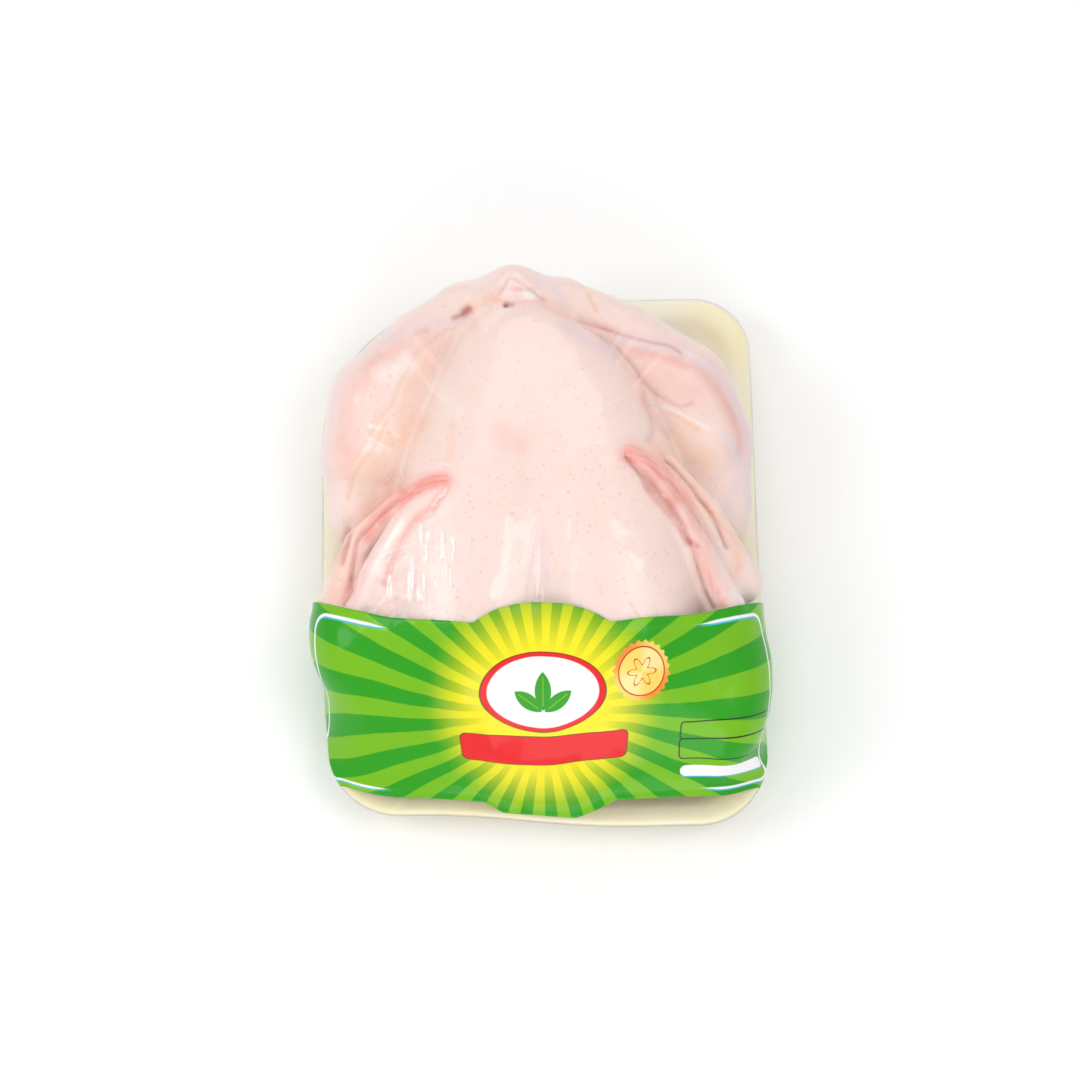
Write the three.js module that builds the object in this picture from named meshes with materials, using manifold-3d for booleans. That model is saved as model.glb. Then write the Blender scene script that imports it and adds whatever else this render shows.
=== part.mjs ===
// A whole raw chicken on a foam tray, sealed in clear stretch film, with a printed band across its neck end.
// Units are millimetres. +Z is up, +Y runs from the neck end to the tail, and the origin is the centre of
// the tray's underside. The bird lies on its back, so its breast is the top of the pack.
// The film is taut: it follows the bird where the bird pushes it out, and spans the hollows to the rim.
import * as THREE from "three";
import { mergeVertices } from "three/addons/utils/BufferGeometryUtils.js";
import Module from "manifold-3d";

const wasm = await Module();
wasm.setup();

// ---- driving dimensions ------------------------------------------------------------------------------
const TRAY_WIDTH = 188;
const TRAY_LENGTH = 235;
const TRAY_HEIGHT = 22;
const FOAM = 4.5; // thickness of the tray's floor
const LIP_DEPTH = 4.6; // height of the rim's outer edge
const RIM_BEVEL = 1.2; // on the rim's outer top edge
const FLANGE = 8; // width of the flat rim
const SHOULDER = { run: 2, drop: 1.5 }; // where the flange turns down into the wall
const WALL_RUN = 18; // how far the sloping wall comes in from the flange to the floor
const FLOOR_BEVEL = { run: 4, rise: 2 }; // where the wall meets the floor
const FOOT_INSET = 25; // from the rim's edge to the edge of the underside
const TRAY_FACETS = 72;
// Corner radii of the rim: tail right, tail left, neck left, neck right. The film pulls the tail left corner
// in under the thigh.
const CORNER_RADII = [25, 64, 30, 29];
// The film also presses the neck edge in on the left: most at this angle, by this share of the distance from
// the centre, and not at all half an arc to either side.
const PRESSED_IN = { share: 0.055, angle: -117, halfArc: 46 };

const GAP = 0.35; // clearance between pieces that touch
const WALL_GAP = 1.8; // and sideways, along the tray's sloping wall
const RIM_INSET = 0.4; // the film meets the rim this far in from its outline
const FILM_STANDOFF = 0.6; // the film's outer face above the skin
const FILM_SECTORS = 96; // facets of the film round the pack
const FILM_RINGS = 38; // and from the rim to the top
const RELAX_STEPS = 90; // passes that draw the film taut
const SKIN_BLEND = 7; // how softly the bird's parts run into each other

const BAND_THICKNESS = 0.6;
const BAND_GAP = 1; // the band's inner face above the film
const BAND_FOLD_END = 5; // height at which the band's ends stop on the tray's side
const BAND_COLUMNS = 27; // columns of facets from the middle of the band to the rim, on each side
const BAND_ROWS = 12;
const BAND_AXIS = -60; // depth of the line the band is wrapped round
const BAND_UNDER_SLOPE = 1.3; // how far the ends come in, below the rim, for each millimetre down
const BAND_TAUT_STEPS = 8;
const LIP_CLEARANCE = 0.4; // how far below the rim's lip the band turns in

// The far and near edges of the band, as [s, y] pairs: s is -1 at the left rim, 0 in the middle and 1 at
// the right rim.
const FAR_EDGE = [
  [-1, -23.5], [-0.84, -25], [-0.52, -39], [-0.22, -45.5],
  [0.22, -46], [0.52, -40.5], [0.84, -28.5], [1, -27],
];
const NEAR_EDGE = [
  [-1, -98], [-0.9, -103.5], [-0.8, -106], [-0.37, -109],
  [0.37, -110], [0.82, -109], [1, -102.5],
];
// The round part in the middle stands out past both edges: half is its half width in s.
const FAR_BULGE = { half: 0.22, height: 9 };
const NEAR_BULGE = { half: 0.37, height: 4.6 };

// ---- the bird ----------------------------------------------------------------------------------------
const v = (x, y, z) => new THREE.Vector3(x, y, z);

// Ellipsoids: centre, radii and the turn about Z in degrees.
const LUMPS = [
  { centre: v(0, -2, 42), radii: v(62, 98, 37), turn: 0 }, // back and ribs
  { centre: v(-21, 4, 57), radii: v(40, 86, 35.5), turn: -8 }, // left breast
  { centre: v(24, 4, 57), radii: v(40, 86, 35.5), turn: 10 }, // right breast
  { centre: v(-2, 54, 56), radii: v(39, 52, 30), turn: 3 }, // belly, up to the keel's end
  { centre: v(-3, -60, 36), radii: v(66, 40, 26), turn: 0 }, // neck end
  { centre: v(-74, -40, 40), radii: v(23, 31, 25), turn: 8 }, // left shoulder
  { centre: v(73.5, -62, 39), radii: v(22, 38, 25), turn: -6 }, // right shoulder
];

// Limbs: chains of points, each with its radius.
const LIMBS = {
  tail: [[v(-9, 88, 48), 18], [v(-9, 108, 55), 13]],
  leftDrumstick: [
    [v(-32, 103, 53), 11],
    [v(-50, 87, 49), 16],
    [v(-66, 62, 47), 24],
    [v(-70, 38, 44), 23],
    [v(-73, 18, 41), 17],
  ],
  rightDrumstick: [
    [v(12, 104, 54), 11],
    [v(37, 90, 50), 15],
    [v(62, 66, 46), 22],
    [v(70, 42, 44), 22],
    [v(75, 18, 41), 16],
  ],
  leftThigh: [[v(-38, 44, 32), 25], [v(-66, 12, 36), 20]],
  rightThigh: [[v(38, 44, 32), 25], [v(66, 12, 36), 20]],
  leftWingTip: [
    [v(-40, 14, 82), 4.5],
    [v(-54, 0, 77), 7],
    [v(-66, -18, 68), 8],
    [v(-74, -34, 57), 10],
  ],
  rightWingTip: [
    [v(38, 24, 83), 4.5],
    [v(51, 7, 78), 7],
    [v(64, -13, 70), 8],
    [v(75, -34, 58), 10],
  ],
  leftWingFlat: [[v(-58, 10, 73), 4.5], [v(-75, -4, 61), 7], [v(-83, -26, 47), 10]],
  rightWingFlat: [[v(54, 24, 73), 4.5], [v(69, 5, 66), 7], [v(83, -20, 48), 10]],
};

// Distance to an ellipsoid, good near its surface.
function lumpDistance(p, lump) {
  const local = p.clone().sub(lump.centre);
  local.applyAxisAngle(v(0, 0, 1), -THREE.MathUtils.degToRad(lump.turn));
  const scaled = local.clone().divide(lump.radii);
  const steep = scaled.clone().divide(lump.radii);
  const near = scaled.length();
  return (near * (near - 1)) / Math.max(steep.length(), 1e-9);
}

// Distance to a chain of points with radii, joined by tapered rods.
function limbDistance(p, chain) {
  let best = Infinity;
  for (let i = 0; i + 1 < chain.length; i++) {
    const [a, ra] = chain[i];
    const [b, rb] = chain[i + 1];
    const along = b.clone().sub(a);
    const t = THREE.MathUtils.clamp(p.clone().sub(a).dot(along) / along.lengthSq(), 0, 1);
    const reach = p.distanceTo(a.clone().addScaledVector(along, t)) - THREE.MathUtils.lerp(ra, rb, t);
    best = Math.min(best, reach);
  }
  return best;
}

// The smaller of two distances, with a fillet where they are alike.
function blendedMin(a, b, blend) {
  const h = Math.max(blend - Math.abs(a - b), 0) / blend;
  return Math.min(a, b) - (h * h * blend) / 4;
}

function birdDistance(p) {
  let distance = Infinity;
  for (const lump of LUMPS) {
    distance = blendedMin(distance, lumpDistance(p, lump), SKIN_BLEND);
  }
  for (const chain of Object.values(LIMBS)) {
    distance = blendedMin(distance, limbDistance(p, chain), SKIN_BLEND);
  }
  return distance;
}

// ---- the tray's outline ------------------------------------------------------------------------------
// How much of its distance from the centre the outline keeps in the direction of angle.
function keptShare(angle) {
  const turned = angle - THREE.MathUtils.degToRad(PRESSED_IN.angle);
  const off = THREE.MathUtils.radToDeg(Math.acos(Math.cos(turned))) / PRESSED_IN.halfArc;
  return off < 1 ? 1 - PRESSED_IN.share * Math.cos((off * Math.PI) / 2) ** 2 : 1;
}

// A point on the rim's outline, moved in by inset, in the direction of angle (0 is +X, a quarter turn +Y).
function outlinePoint(angle, inset) {
  const halfWidth = TRAY_WIDTH / 2 - inset;
  const halfLength = TRAY_LENGTH / 2 - inset;
  const ray = new THREE.Vector2(Math.cos(angle), Math.sin(angle));
  const quadrant = ray.y >= 0 ? (ray.x >= 0 ? 0 : 1) : ray.x < 0 ? 2 : 3;
  const radius = Math.max(CORNER_RADII[quadrant] - 0.6 * inset, 6);
  const toSide = halfWidth / Math.max(Math.abs(ray.x), 1e-9);
  const toEnd = halfLength / Math.max(Math.abs(ray.y), 1e-9);
  const flat = ray.clone().multiplyScalar(Math.min(toSide, toEnd));
  const centre = new THREE.Vector2(
    Math.sign(ray.x || 1) * (halfWidth - radius),
    Math.sign(ray.y || 1) * (halfLength - radius),
  );
  const inCorner = Math.abs(flat.x) > Math.abs(centre.x) && Math.abs(flat.y) > Math.abs(centre.y);
  if (!inCorner) return flat.multiplyScalar(keptShare(angle));
  // The ray meets the corner's circle where |ray * t - centre| = radius.
  const middle = ray.dot(centre);
  const reach = middle + Math.sqrt(Math.max(middle * middle - centre.lengthSq() + radius * radius, 0));
  return ray.multiplyScalar(reach * keptShare(angle));
}

// Turns a lathe's circle into the tray's rounded rectangle, with inset = half width - r at each point.
function squared(geometry) {
  const positions = geometry.attributes.position;
  for (let i = 0; i < positions.count; i++) {
    const x = positions.getX(i);
    const height = positions.getY(i);
    const y = -positions.getZ(i);
    const r = Math.hypot(x, y);
    const point = r < 1e-6 ? new THREE.Vector2(0, 0) : outlinePoint(Math.atan2(y, x), TRAY_WIDTH / 2 - r);
    positions.setXYZ(i, point.x, point.y, height);
  }
  return geometry;
}

function trayGeometry() {
  const half = TRAY_WIDTH / 2;
  const lipFoot = TRAY_HEIGHT - LIP_DEPTH;
  const wallFoot = half - FLANGE - WALL_RUN;
  const profile = [
    [0, 0],
    [half - FOOT_INSET, 0],
    [half - FLANGE + SHOULDER.run, lipFoot],
    [half, lipFoot],
    [half, TRAY_HEIGHT - RIM_BEVEL],
    [half - RIM_BEVEL, TRAY_HEIGHT],
    [half - FLANGE, TRAY_HEIGHT],
    [half - FLANGE - SHOULDER.run, TRAY_HEIGHT - SHOULDER.drop],
    [wallFoot, FOAM + FLOOR_BEVEL.rise],
    [wallFoot - FLOOR_BEVEL.run, FOAM],
    [0, FOAM],
  ].map(([r, z]) => new THREE.Vector2(r, z));
  return squared(new THREE.LatheGeometry(profile, TRAY_FACETS));
}

// ---- the film ----------------------------------------------------------------------------------------
const RIM_PLANE = TRAY_HEIGHT + GAP;
const CENTRE = v(0, 0, RIM_PLANE);
const OUTSIDE = 170; // a distance from the centre that is clear of the bird
const NEAREST = 4; // where a ray that misses the bird ends
const START_CONE = 0.55; // the film starts this much steeper than a level sheet

// How far the bird reaches from the centre along a ray, found from outside inwards.
function birdReach(direction) {
  let reach = OUTSIDE;
  for (let step = 0; step < 60 && reach > NEAREST; step++) {
    const gap = birdDistance(CENTRE.clone().addScaledVector(direction, reach)) - FILM_STANDOFF;
    if (gap < 0.02) return reach;
    reach -= Math.max(gap * 0.85, 0.05);
  }
  return Math.max(reach, NEAREST);
}

// The film's dome as a half sphere whose points are moved out along their rays: the first ring lies on the
// rim, and the others are drawn taut between it and the bird, but never into the bird.
function filmDome() {
  const rings = FILM_RINGS;
  const sectors = FILM_SECTORS;
  const rays = [];
  const reach = [];
  const least = [];
  for (let i = 0; i <= rings; i++) {
    const rise = (i / rings) * (Math.PI / 2);
    for (let j = 0; j < sectors; j++) {
      const around = (j / sectors) * 2 * Math.PI;
      const ray = v(Math.cos(rise) * Math.cos(around), Math.cos(rise) * Math.sin(around), Math.sin(rise));
      rays.push(ray);
      least.push(i === 0 ? outlinePoint(around, RIM_INSET).length() : birdReach(ray));
    }
  }
  const at = (i, j) => i * sectors + ((j + sectors) % sectors);
  // The film starts wide, and is then drawn in.
  for (let n = 0; n < rays.length; n++) {
    const rim = least[n % sectors];
    reach.push(Math.max(least[n], rim * (1 - START_CONE * rays[n].z)));
  }
  const point = (n) => rays[n].clone().multiplyScalar(reach[n]);
  for (let pass = 0; pass < RELAX_STEPS; pass++) {
    for (let i = 1; i < rings; i++) {
      // Spacing round the ring shrinks towards the top, so the two directions are weighted alike.
      const stretch = Math.cos((i / rings) * (Math.PI / 2)) * (4 * rings) / sectors;
      const round = 1 / Math.max(stretch * stretch, 0.05);
      for (let j = 0; j < sectors; j++) {
        const n = at(i, j);
        const mean = point(at(i - 1, j)).add(point(at(i + 1, j)));
        mean.addScaledVector(point(at(i, j - 1)).add(point(at(i, j + 1))), round);
        mean.divideScalar(2 + 2 * round);
        reach[n] = Math.max(least[n], mean.dot(rays[n]));
      }
    }
    const crown = reach.slice((rings - 1) * sectors, rings * sectors).reduce((a, b) => a + b, 0) / sectors;
    for (let j = 0; j < sectors; j++) reach[at(rings, j)] = Math.max(least[at(rings, 0)], crown);
  }
  const geometry = new THREE.SphereGeometry(1, sectors, rings, 0, 2 * Math.PI, 0, Math.PI / 2);
  const positions = geometry.attributes.position;
  for (let row = 0; row <= rings; row++) {
    for (let column = 0; column <= sectors; column++) {
      const n = at(rings - row, column);
      const p = point(n).add(CENTRE);
      positions.setXYZ(row * (sectors + 1) + column, p.x, p.y, p.z);
    }
  }
  return geometry;
}

// ---- solids ------------------------------------------------------------------------------------------
function merged(geometry) {
  const bare = new THREE.BufferGeometry();
  bare.setAttribute("position", geometry.attributes.position.clone());
  bare.setIndex(geometry.index.clone());
  return mergeVertices(bare, 1e-3);
}

function solidOf(geometry) {
  const closed = merged(geometry);
  return new wasm.Manifold(
    new wasm.Mesh({
      numProp: 3,
      vertProperties: new Float32Array(closed.attributes.position.array),
      triVerts: new Uint32Array(closed.index.array),
    }),
  );
}

function geometryOf(solid) {
  const mesh = solid.getMesh();
  const geometry = new THREE.BufferGeometry();
  geometry.setAttribute("position", new THREE.BufferAttribute(mesh.vertProperties, 3));
  geometry.setIndex(new THREE.BufferAttribute(mesh.triVerts, 1));
  geometry.computeVertexNormals();
  return geometry;
}

// The dome closed by a flat fan over the rim plane.
function closedDome(dome) {
  const positions = Array.from(dome.attributes.position.array);
  const index = Array.from(dome.index.array);
  const hub = positions.length / 3;
  positions.push(CENTRE.x, CENTRE.y, CENTRE.z);
  const firstOfRim = FILM_RINGS * (FILM_SECTORS + 1);
  for (let j = 0; j < FILM_SECTORS; j++) index.push(hub, firstOfRim + j + 1, firstOfRim + j);
  const geometry = new THREE.BufferGeometry();
  geometry.setAttribute("position", new THREE.Float32BufferAttribute(positions, 3));
  geometry.setIndex(index);
  return geometry;
}

// What fills the tray's hollow, from its floor up into the dome.
function hollowFill() {
  const wallTop = TRAY_WIDTH / 2 - FLANGE - WALL_GAP;
  const insideDome = RIM_PLANE + 0.2;
  const profile = [
    [0, FOAM + GAP],
    [wallTop - WALL_RUN - FLOOR_BEVEL.run, FOAM + GAP],
    [wallTop - WALL_RUN, FOAM + FLOOR_BEVEL.rise + GAP],
    [wallTop - SHOULDER.run, TRAY_HEIGHT - SHOULDER.drop],
    [wallTop, insideDome],
    [0, insideDome],
  ].map(([r, z]) => new THREE.Vector2(r, z));
  return squared(new THREE.LatheGeometry(profile, TRAY_FACETS));
}

const dome = filmDome();
const pack = solidOf(closedDome(dome)).add(solidOf(hollowFill()));
const wrappedChicken = geometryOf(pack);

// ---- the printed band --------------------------------------------------------------------------------
function edgeAt(edge, s) {
  let k = 0;
  while (k < edge.length - 2 && edge[k + 1][0] < s) k++;
  const [s0, y0] = edge[k];
  const [s1, y1] = edge[k + 1];
  return THREE.MathUtils.lerp(y0, y1, THREE.MathUtils.clamp((s - s0) / (s1 - s0), 0, 1));
}

function bulgeAt(s, bulge) {
  const share = Math.min(Math.abs(s) / bulge.half, 1);
  return bulge.height * (1 - share * share);
}

// The direction in which the rim's outline, on one side, reaches this y.
function rimDirection(side, y) {
  let low = 0;
  let high = Math.PI / 2;
  const turned = (angle) => (side > 0 ? -angle : angle - Math.PI);
  for (let i = 0; i < 40; i++) {
    const middle = (low + high) / 2;
    if (outlinePoint(turned(middle), 0).y > y) low = middle;
    else high = middle;
  }
  return turned(low);
}

// The band's columns, from left to right: s for those over the bird, and for those past the rim how far
// they have dropped below it.
function bandColumns() {
  const full = TRAY_HEIGHT - BAND_FOLD_END;
  const belowLip = LIP_DEPTH + LIP_CLEARANCE;
  const drops = [belowLip, (belowLip + full) / 2, full];
  const columns = [];
  for (const drop of [...drops].reverse()) columns.push({ s: -1, drop });
  for (let k = -BAND_COLUMNS; k <= BAND_COLUMNS; k++) columns.push({ s: k / BAND_COLUMNS, drop: 0 });
  for (const drop of drops) columns.push({ s: 1, drop });
  return columns;
}

const filmMesh = new THREE.Mesh(dome, new THREE.MeshBasicMaterial({ side: THREE.DoubleSide }));

// One point of the band's inner face: where it starts from, the way it lies from there and how far.
function wrappedPoint({ s, drop }, t) {
  const side = s < 0 ? -1 : 1;
  const far = edgeAt(FAR_EDGE, s) + bulgeAt(s, FAR_BULGE);
  const near = edgeAt(NEAR_EDGE, s) - bulgeAt(s, NEAR_BULGE);
  const y = THREE.MathUtils.lerp(near, far, t);
  const direction = rimDirection(side, y);
  const from = v(0, y, BAND_AXIS);
  if (Math.abs(s) === 1) {
    const inset = Math.max(drop - LIP_DEPTH - LIP_CLEARANCE, 0) * BAND_UNDER_SLOPE;
    const rim = outlinePoint(direction, inset);
    const ray = v(rim.x, rim.y, TRAY_HEIGHT - drop).sub(from);
    return { from, ray: ray.clone().normalize(), reach: ray.length(), loose: false };
  }
  const rim = outlinePoint(direction, 0);
  const angle = Math.abs(s) * Math.atan2(rim.x, TRAY_HEIGHT - BAND_AXIS);
  const ray = v(Math.sin(angle), 0, Math.cos(angle));
  const hits = new THREE.Raycaster(from, ray).intersectObject(filmMesh);
  return { from, ray, reach: hits[hits.length - 1].distance, loose: true };
}

function bandGeometry() {
  const columns = bandColumns();
  const grid = columns.map((column) => {
    const rows = [];
    for (let j = 0; j <= BAND_ROWS; j++) rows.push(wrappedPoint(column, j / BAND_ROWS));
    return rows;
  });
  const last = columns.length - 1;
  const place = (spot) => spot.from.clone().addScaledVector(spot.ray, spot.reach);
  const at = (i, j) => place(grid[THREE.MathUtils.clamp(i, 0, last)][THREE.MathUtils.clamp(j, 0, BAND_ROWS)]);
  // Draws the band taut across the hollows of the film; it never moves inwards.
  for (let pass = 0; pass < BAND_TAUT_STEPS; pass++) {
    for (let i = 1; i < last; i++) {
      for (let j = 0; j <= BAND_ROWS; j++) {
        const spot = grid[i][j];
        if (!spot.loose) continue;
        const ahead = at(i + 1, j).add(at(i, j + 1));
        const mean = at(i - 1, j).add(at(i, j - 1)).add(ahead).multiplyScalar(0.25);
        spot.reach = Math.max(spot.reach, mean.sub(spot.from).dot(spot.ray));
      }
    }
  }
  const geometry = new THREE.BoxGeometry(1, 1, 1, last, BAND_ROWS, 1);
  const positions = geometry.attributes.position;
  for (let n = 0; n < positions.count; n++) {
    const i = Math.round((positions.getX(n) + 0.5) * last);
    const j = Math.round((positions.getY(n) + 0.5) * BAND_ROWS);
    const along = at(i + 1, j).sub(at(i - 1, j));
    const across = at(i, j + 1).sub(at(i, j - 1));
    const outward = along.cross(across).normalize();
    const lift = BAND_GAP + (positions.getZ(n) > 0 ? BAND_THICKNESS : 0);
    const p = at(i, j).addScaledVector(outward, lift);
    positions.setXYZ(n, p.x, p.y, p.z);
  }
  return merged(geometry);
}

// ---- assembly ----------------------------------------------------------------------------------------
function material(colour, roughness) {
  return new THREE.MeshStandardMaterial({ color: new THREE.Color(colour), roughness, metalness: 0 });
}

function named(name, geometry, finish) {
  const mesh = new THREE.Mesh(geometry, finish);
  mesh.name = name;
  return mesh;
}

const packGroup = new THREE.Group();
packGroup.add(named("tray", merged(trayGeometry()), material("#f6e3b0", 0.7)));
packGroup.add(named("wrapped_chicken", wrappedChicken, material("#f3cdc2", 0.3)));
packGroup.add(named("label_band", bandGeometry(), material("#4fb01c", 0.35)));

export default packGroup;
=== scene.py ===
"""A whole raw chicken, breast up on a pale foam tray, sealed in taut clear film with a printed band.

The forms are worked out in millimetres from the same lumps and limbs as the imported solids, and become
metres when a mesh is made. Marks on the skin and the film are laid out on a drawing plane that is square
to the camera, also in millimetres, so that a mark is given by where it is seen.
"""

import logging
import math
from dataclasses import dataclass, field
from enum import Enum

import bpy
import numpy as np
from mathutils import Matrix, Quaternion, Vector
from mathutils.bvhtree import BVHTree

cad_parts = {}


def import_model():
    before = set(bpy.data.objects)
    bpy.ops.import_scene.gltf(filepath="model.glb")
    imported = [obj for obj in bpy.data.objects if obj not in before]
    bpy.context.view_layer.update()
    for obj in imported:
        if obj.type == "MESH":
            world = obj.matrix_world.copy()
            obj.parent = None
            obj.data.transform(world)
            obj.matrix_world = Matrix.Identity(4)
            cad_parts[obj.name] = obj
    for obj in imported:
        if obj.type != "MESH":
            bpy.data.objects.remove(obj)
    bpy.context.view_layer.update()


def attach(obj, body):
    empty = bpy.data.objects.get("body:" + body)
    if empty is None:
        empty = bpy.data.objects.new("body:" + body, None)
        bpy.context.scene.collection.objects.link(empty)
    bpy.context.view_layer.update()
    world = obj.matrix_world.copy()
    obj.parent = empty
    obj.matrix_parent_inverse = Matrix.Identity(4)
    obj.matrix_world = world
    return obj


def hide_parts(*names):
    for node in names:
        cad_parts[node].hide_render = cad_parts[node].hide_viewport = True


LOG = logging.getLogger("chicken_pack")
MM = 0.001
BODY = "root"
Array = np.ndarray
Piece = bpy.types.Object
Material = bpy.types.Material
Pair = tuple[float, float]
Triple = Colour = tuple[float, float, float]
Line = tuple[Pair, ...]
NoiseLayers = tuple[tuple[float, int, float], ...]


# ---- sums on points and lines ----
def value_noise(points: Array, size: float, seed: int) -> Array:
    """Smooth noise between -1 and 1.

    Args:
        points: An array of points, one a row, with two or three numbers each.
        size: The width of one blob of the noise, in the points' units.
        seed: Which noise.

    Returns:
        One number for each point.
    """
    cells = 32
    lattice = np.random.default_rng(seed).uniform(-1.0, 1.0, (cells, cells, cells))
    places = points / size
    if places.shape[1] == 2:
        places = np.column_stack([places, np.full(len(places), 0.5)])
    low = np.floor(places).astype(int)
    share = places - low
    share = share * share * (3.0 - 2.0 * share)
    total = np.zeros(len(points))
    for corner in np.ndindex(2, 2, 2):
        weight = np.prod(np.where(corner, share, 1.0 - share), axis=1)
        index = (low + corner) % cells
        total += weight * lattice[index[:, 0], index[:, 1], index[:, 2]]
    return total


def layered_noise(points: Array, layers: NoiseLayers) -> Array:
    """Adds up layers of noise, each given by the width of its blobs, its seed and its height."""
    return sum(height * value_noise(points, size, seed) for size, seed, height in layers)


def rounded_line(line: Line, spans: int = 5) -> Array:
    """Draws a smooth curve through the points of a line.

    Args:
        line: The points.
        spans: How many straight pieces stand between two of them.

    Returns:
        The points of the curve, one a row.
    """
    given = np.array(line, float)
    if len(given) < 3:
        return given
    ends = np.vstack([2 * given[0] - given[1], given, 2 * given[-1] - given[-2]])
    curve = []
    for before, start, stop, after in zip(ends, ends[1:], ends[2:], ends[3:]):
        for step in range(spans):
            t = step / spans
            bend = (stop - before) * t + (2 * before - 5 * start + 4 * stop - after) * t**2
            curve.append(start + 0.5 * (bend + (3 * (start - stop) + after - before) * t**3))
    curve.append(given[-1])
    return np.array(curve)


@dataclass
class LineReading:
    """How spots lie to a line: their distance from it, how far along it, and on which side."""

    gap: Array
    along: Array
    side: Array
    length: float


def read_line(spots: Array, line: Array) -> LineReading:
    """Measures spots against a line.

    Args:
        spots: Points, one a row.
        line: The line's points, one a row.

    Returns:
        The reading, with side +1 to the left of the line's run.
    """
    gap = np.full(len(spots), np.inf)
    along = np.zeros(len(spots))
    side = np.ones(len(spots))
    run = 0.0
    for start, stop in zip(line, line[1:]):
        way = stop - start
        length = math.hypot(*way)
        t = np.clip((spots - start) @ way / max(length * length, 1e-9), 0.0, 1.0)
        off = spots - start - t[:, None] * way
        distance = np.hypot(off[:, 0], off[:, 1])
        nearer = distance < gap
        gap = np.where(nearer, distance, gap)
        along = np.where(nearer, run + t * length, along)
        side = np.where(nearer, np.sign(way[0] * off[:, 1] - way[1] * off[:, 0]), side)
        run += length
    return LineReading(gap, along, side, run)


def inside_shape(spots: Array, outline: Array) -> Array:
    """Tells which spots lie inside a closed outline.

    Args:
        spots: Points, one a row.
        outline: The outline's points, one a row; the last joins the first.

    Returns:
        True for each spot inside.
    """
    inside = np.zeros(len(spots), bool)
    for (x0, y0), (x1, y1) in zip(outline, np.roll(outline, -1, axis=0)):
        crosses = (y0 > spots[:, 1]) != (y1 > spots[:, 1])
        reach = x0 + (spots[:, 1] - y0) * (x1 - x0) / (y1 - y0 if y1 != y0 else 1e-9)
        inside ^= crosses & (spots[:, 0] < reach)
    return inside


def stroke(spots: Array, line: Line, width: float, filled: bool, spans: int = 5) -> Array:
    """Works out how strongly a stroke shows: fully on its line or in its shape, fading over its width.

    Args:
        spots: Points, one a row.
        line: The stroke's line.
        width: Its half width.
        filled: Whether the line closes a shape that is filled.
        spans: How many straight pieces stand between two of the line's points.

    Returns:
        One number from 0 to 1 for each spot.
    """
    curve = rounded_line(line, spans)
    gap = read_line(spots, np.vstack([curve, curve[:1]]) if filled else curve).gap
    fade = np.exp(-((gap / width) ** 2))
    return np.where(inside_shape(spots, curve), 1.0, fade) if filled else fade


# ---- the camera and its drawing plane ----
@dataclass(frozen=True)
class Lookout:
    """Where the camera stands, and the plane square to it on which marks are laid out, in mm."""

    target: Triple = (0.0, 0.0, 47.0)
    distance: float = 1150.0
    tilt: float = 16.0
    roll: float = 1.1
    field_width: float = 457.4
    sensor: float = 36.0
    lift: float = 1 / 1080

    @property
    def back(self) -> Array:
        """The direction from the target to the camera."""
        tilt = math.radians(self.tilt)
        return np.array([0.0, -math.sin(tilt), math.cos(tilt)])

    def project(self, points: Array) -> Array:
        """Finds where points are seen on the drawing plane.

        Args:
            points: Points in mm, one a row.

        Returns:
            Their two coordinates on the plane, in mm, with the target at (0, 0).
        """
        off = points - np.array(self.target)
        up = np.cross(self.back, (1.0, 0.0, 0.0))
        scale = self.distance / (self.distance - off @ self.back)
        across, high = off[:, 0] * scale, (off @ up) * scale
        roll = math.radians(self.roll)
        return np.column_stack([
            across * math.cos(roll) - high * math.sin(roll),
            across * math.sin(roll) + high * math.cos(roll),
        ])

    def add_camera(self) -> None:
        """Adds the camera and makes it the scene's own."""
        data = bpy.data.cameras.new("camera")
        data.sensor_width = self.sensor
        data.lens = self.sensor * self.distance / self.field_width
        data.shift_y = self.lift
        camera = linked("camera", data)
        back = Vector(self.back)
        camera.location = (Vector(self.target) + back * self.distance) * MM
        turn = Quaternion((0, 0, 1), -math.radians(self.roll))
        camera.rotation_euler = ((-back).to_track_quat("-Z", "Y") @ turn).to_euler()
        bpy.context.scene.camera = camera


# ---- meshes ----
def linked(name: str, data: bpy.types.ID) -> Piece:
    """Makes an object of some data and links it to the scene."""
    piece = bpy.data.objects.new(name, data)
    bpy.context.scene.collection.objects.link(piece)
    return piece


def worked_out(piece: Piece) -> bpy.types.Mesh:
    """Makes a plain mesh of a piece with its modifiers done."""
    graph = bpy.context.evaluated_depsgraph_get()
    return bpy.data.meshes.new_from_object(piece.evaluated_get(graph), depsgraph=graph)


def vertex_places(piece: Piece) -> Array:
    """Lists where a piece's vertices are, in mm."""
    places = np.empty(len(piece.data.vertices) * 3)
    piece.data.vertices.foreach_get("co", places)
    return places.reshape(-1, 3) / MM


def store(piece: Piece, name: str, values: Array) -> None:
    """Stores one, three or four numbers a vertex as an attribute.

    Args:
        piece: The object.
        name: The attribute's name.
        values: The numbers.
    """
    kinds = {1: ("FLOAT", "value"), 3: ("FLOAT_VECTOR", "vector"), 4: ("FLOAT_COLOR", "color")}
    kind, label = kinds[values.size // len(piece.data.vertices)]
    attribute = piece.data.attributes.new(name, kind, "POINT")
    attribute.data.foreach_set(label, values.astype(np.float32).ravel())


def new_object(name: str, points: Array, faces: list, material: Material) -> Piece:
    """Makes a smooth mesh object from points in mm.

    Args:
        name: The object's name.
        points: Its vertices in mm, one a row.
        faces: Its faces, as lists of vertex numbers.
        material: Its finish.

    Returns:
        The object, linked to the scene.
    """
    mesh = bpy.data.meshes.new(name)
    mesh.from_pydata((points * MM).tolist(), [], faces)
    mesh.materials.append(material)
    mesh.shade_smooth()
    mesh.update()
    return linked(name, mesh)


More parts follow.
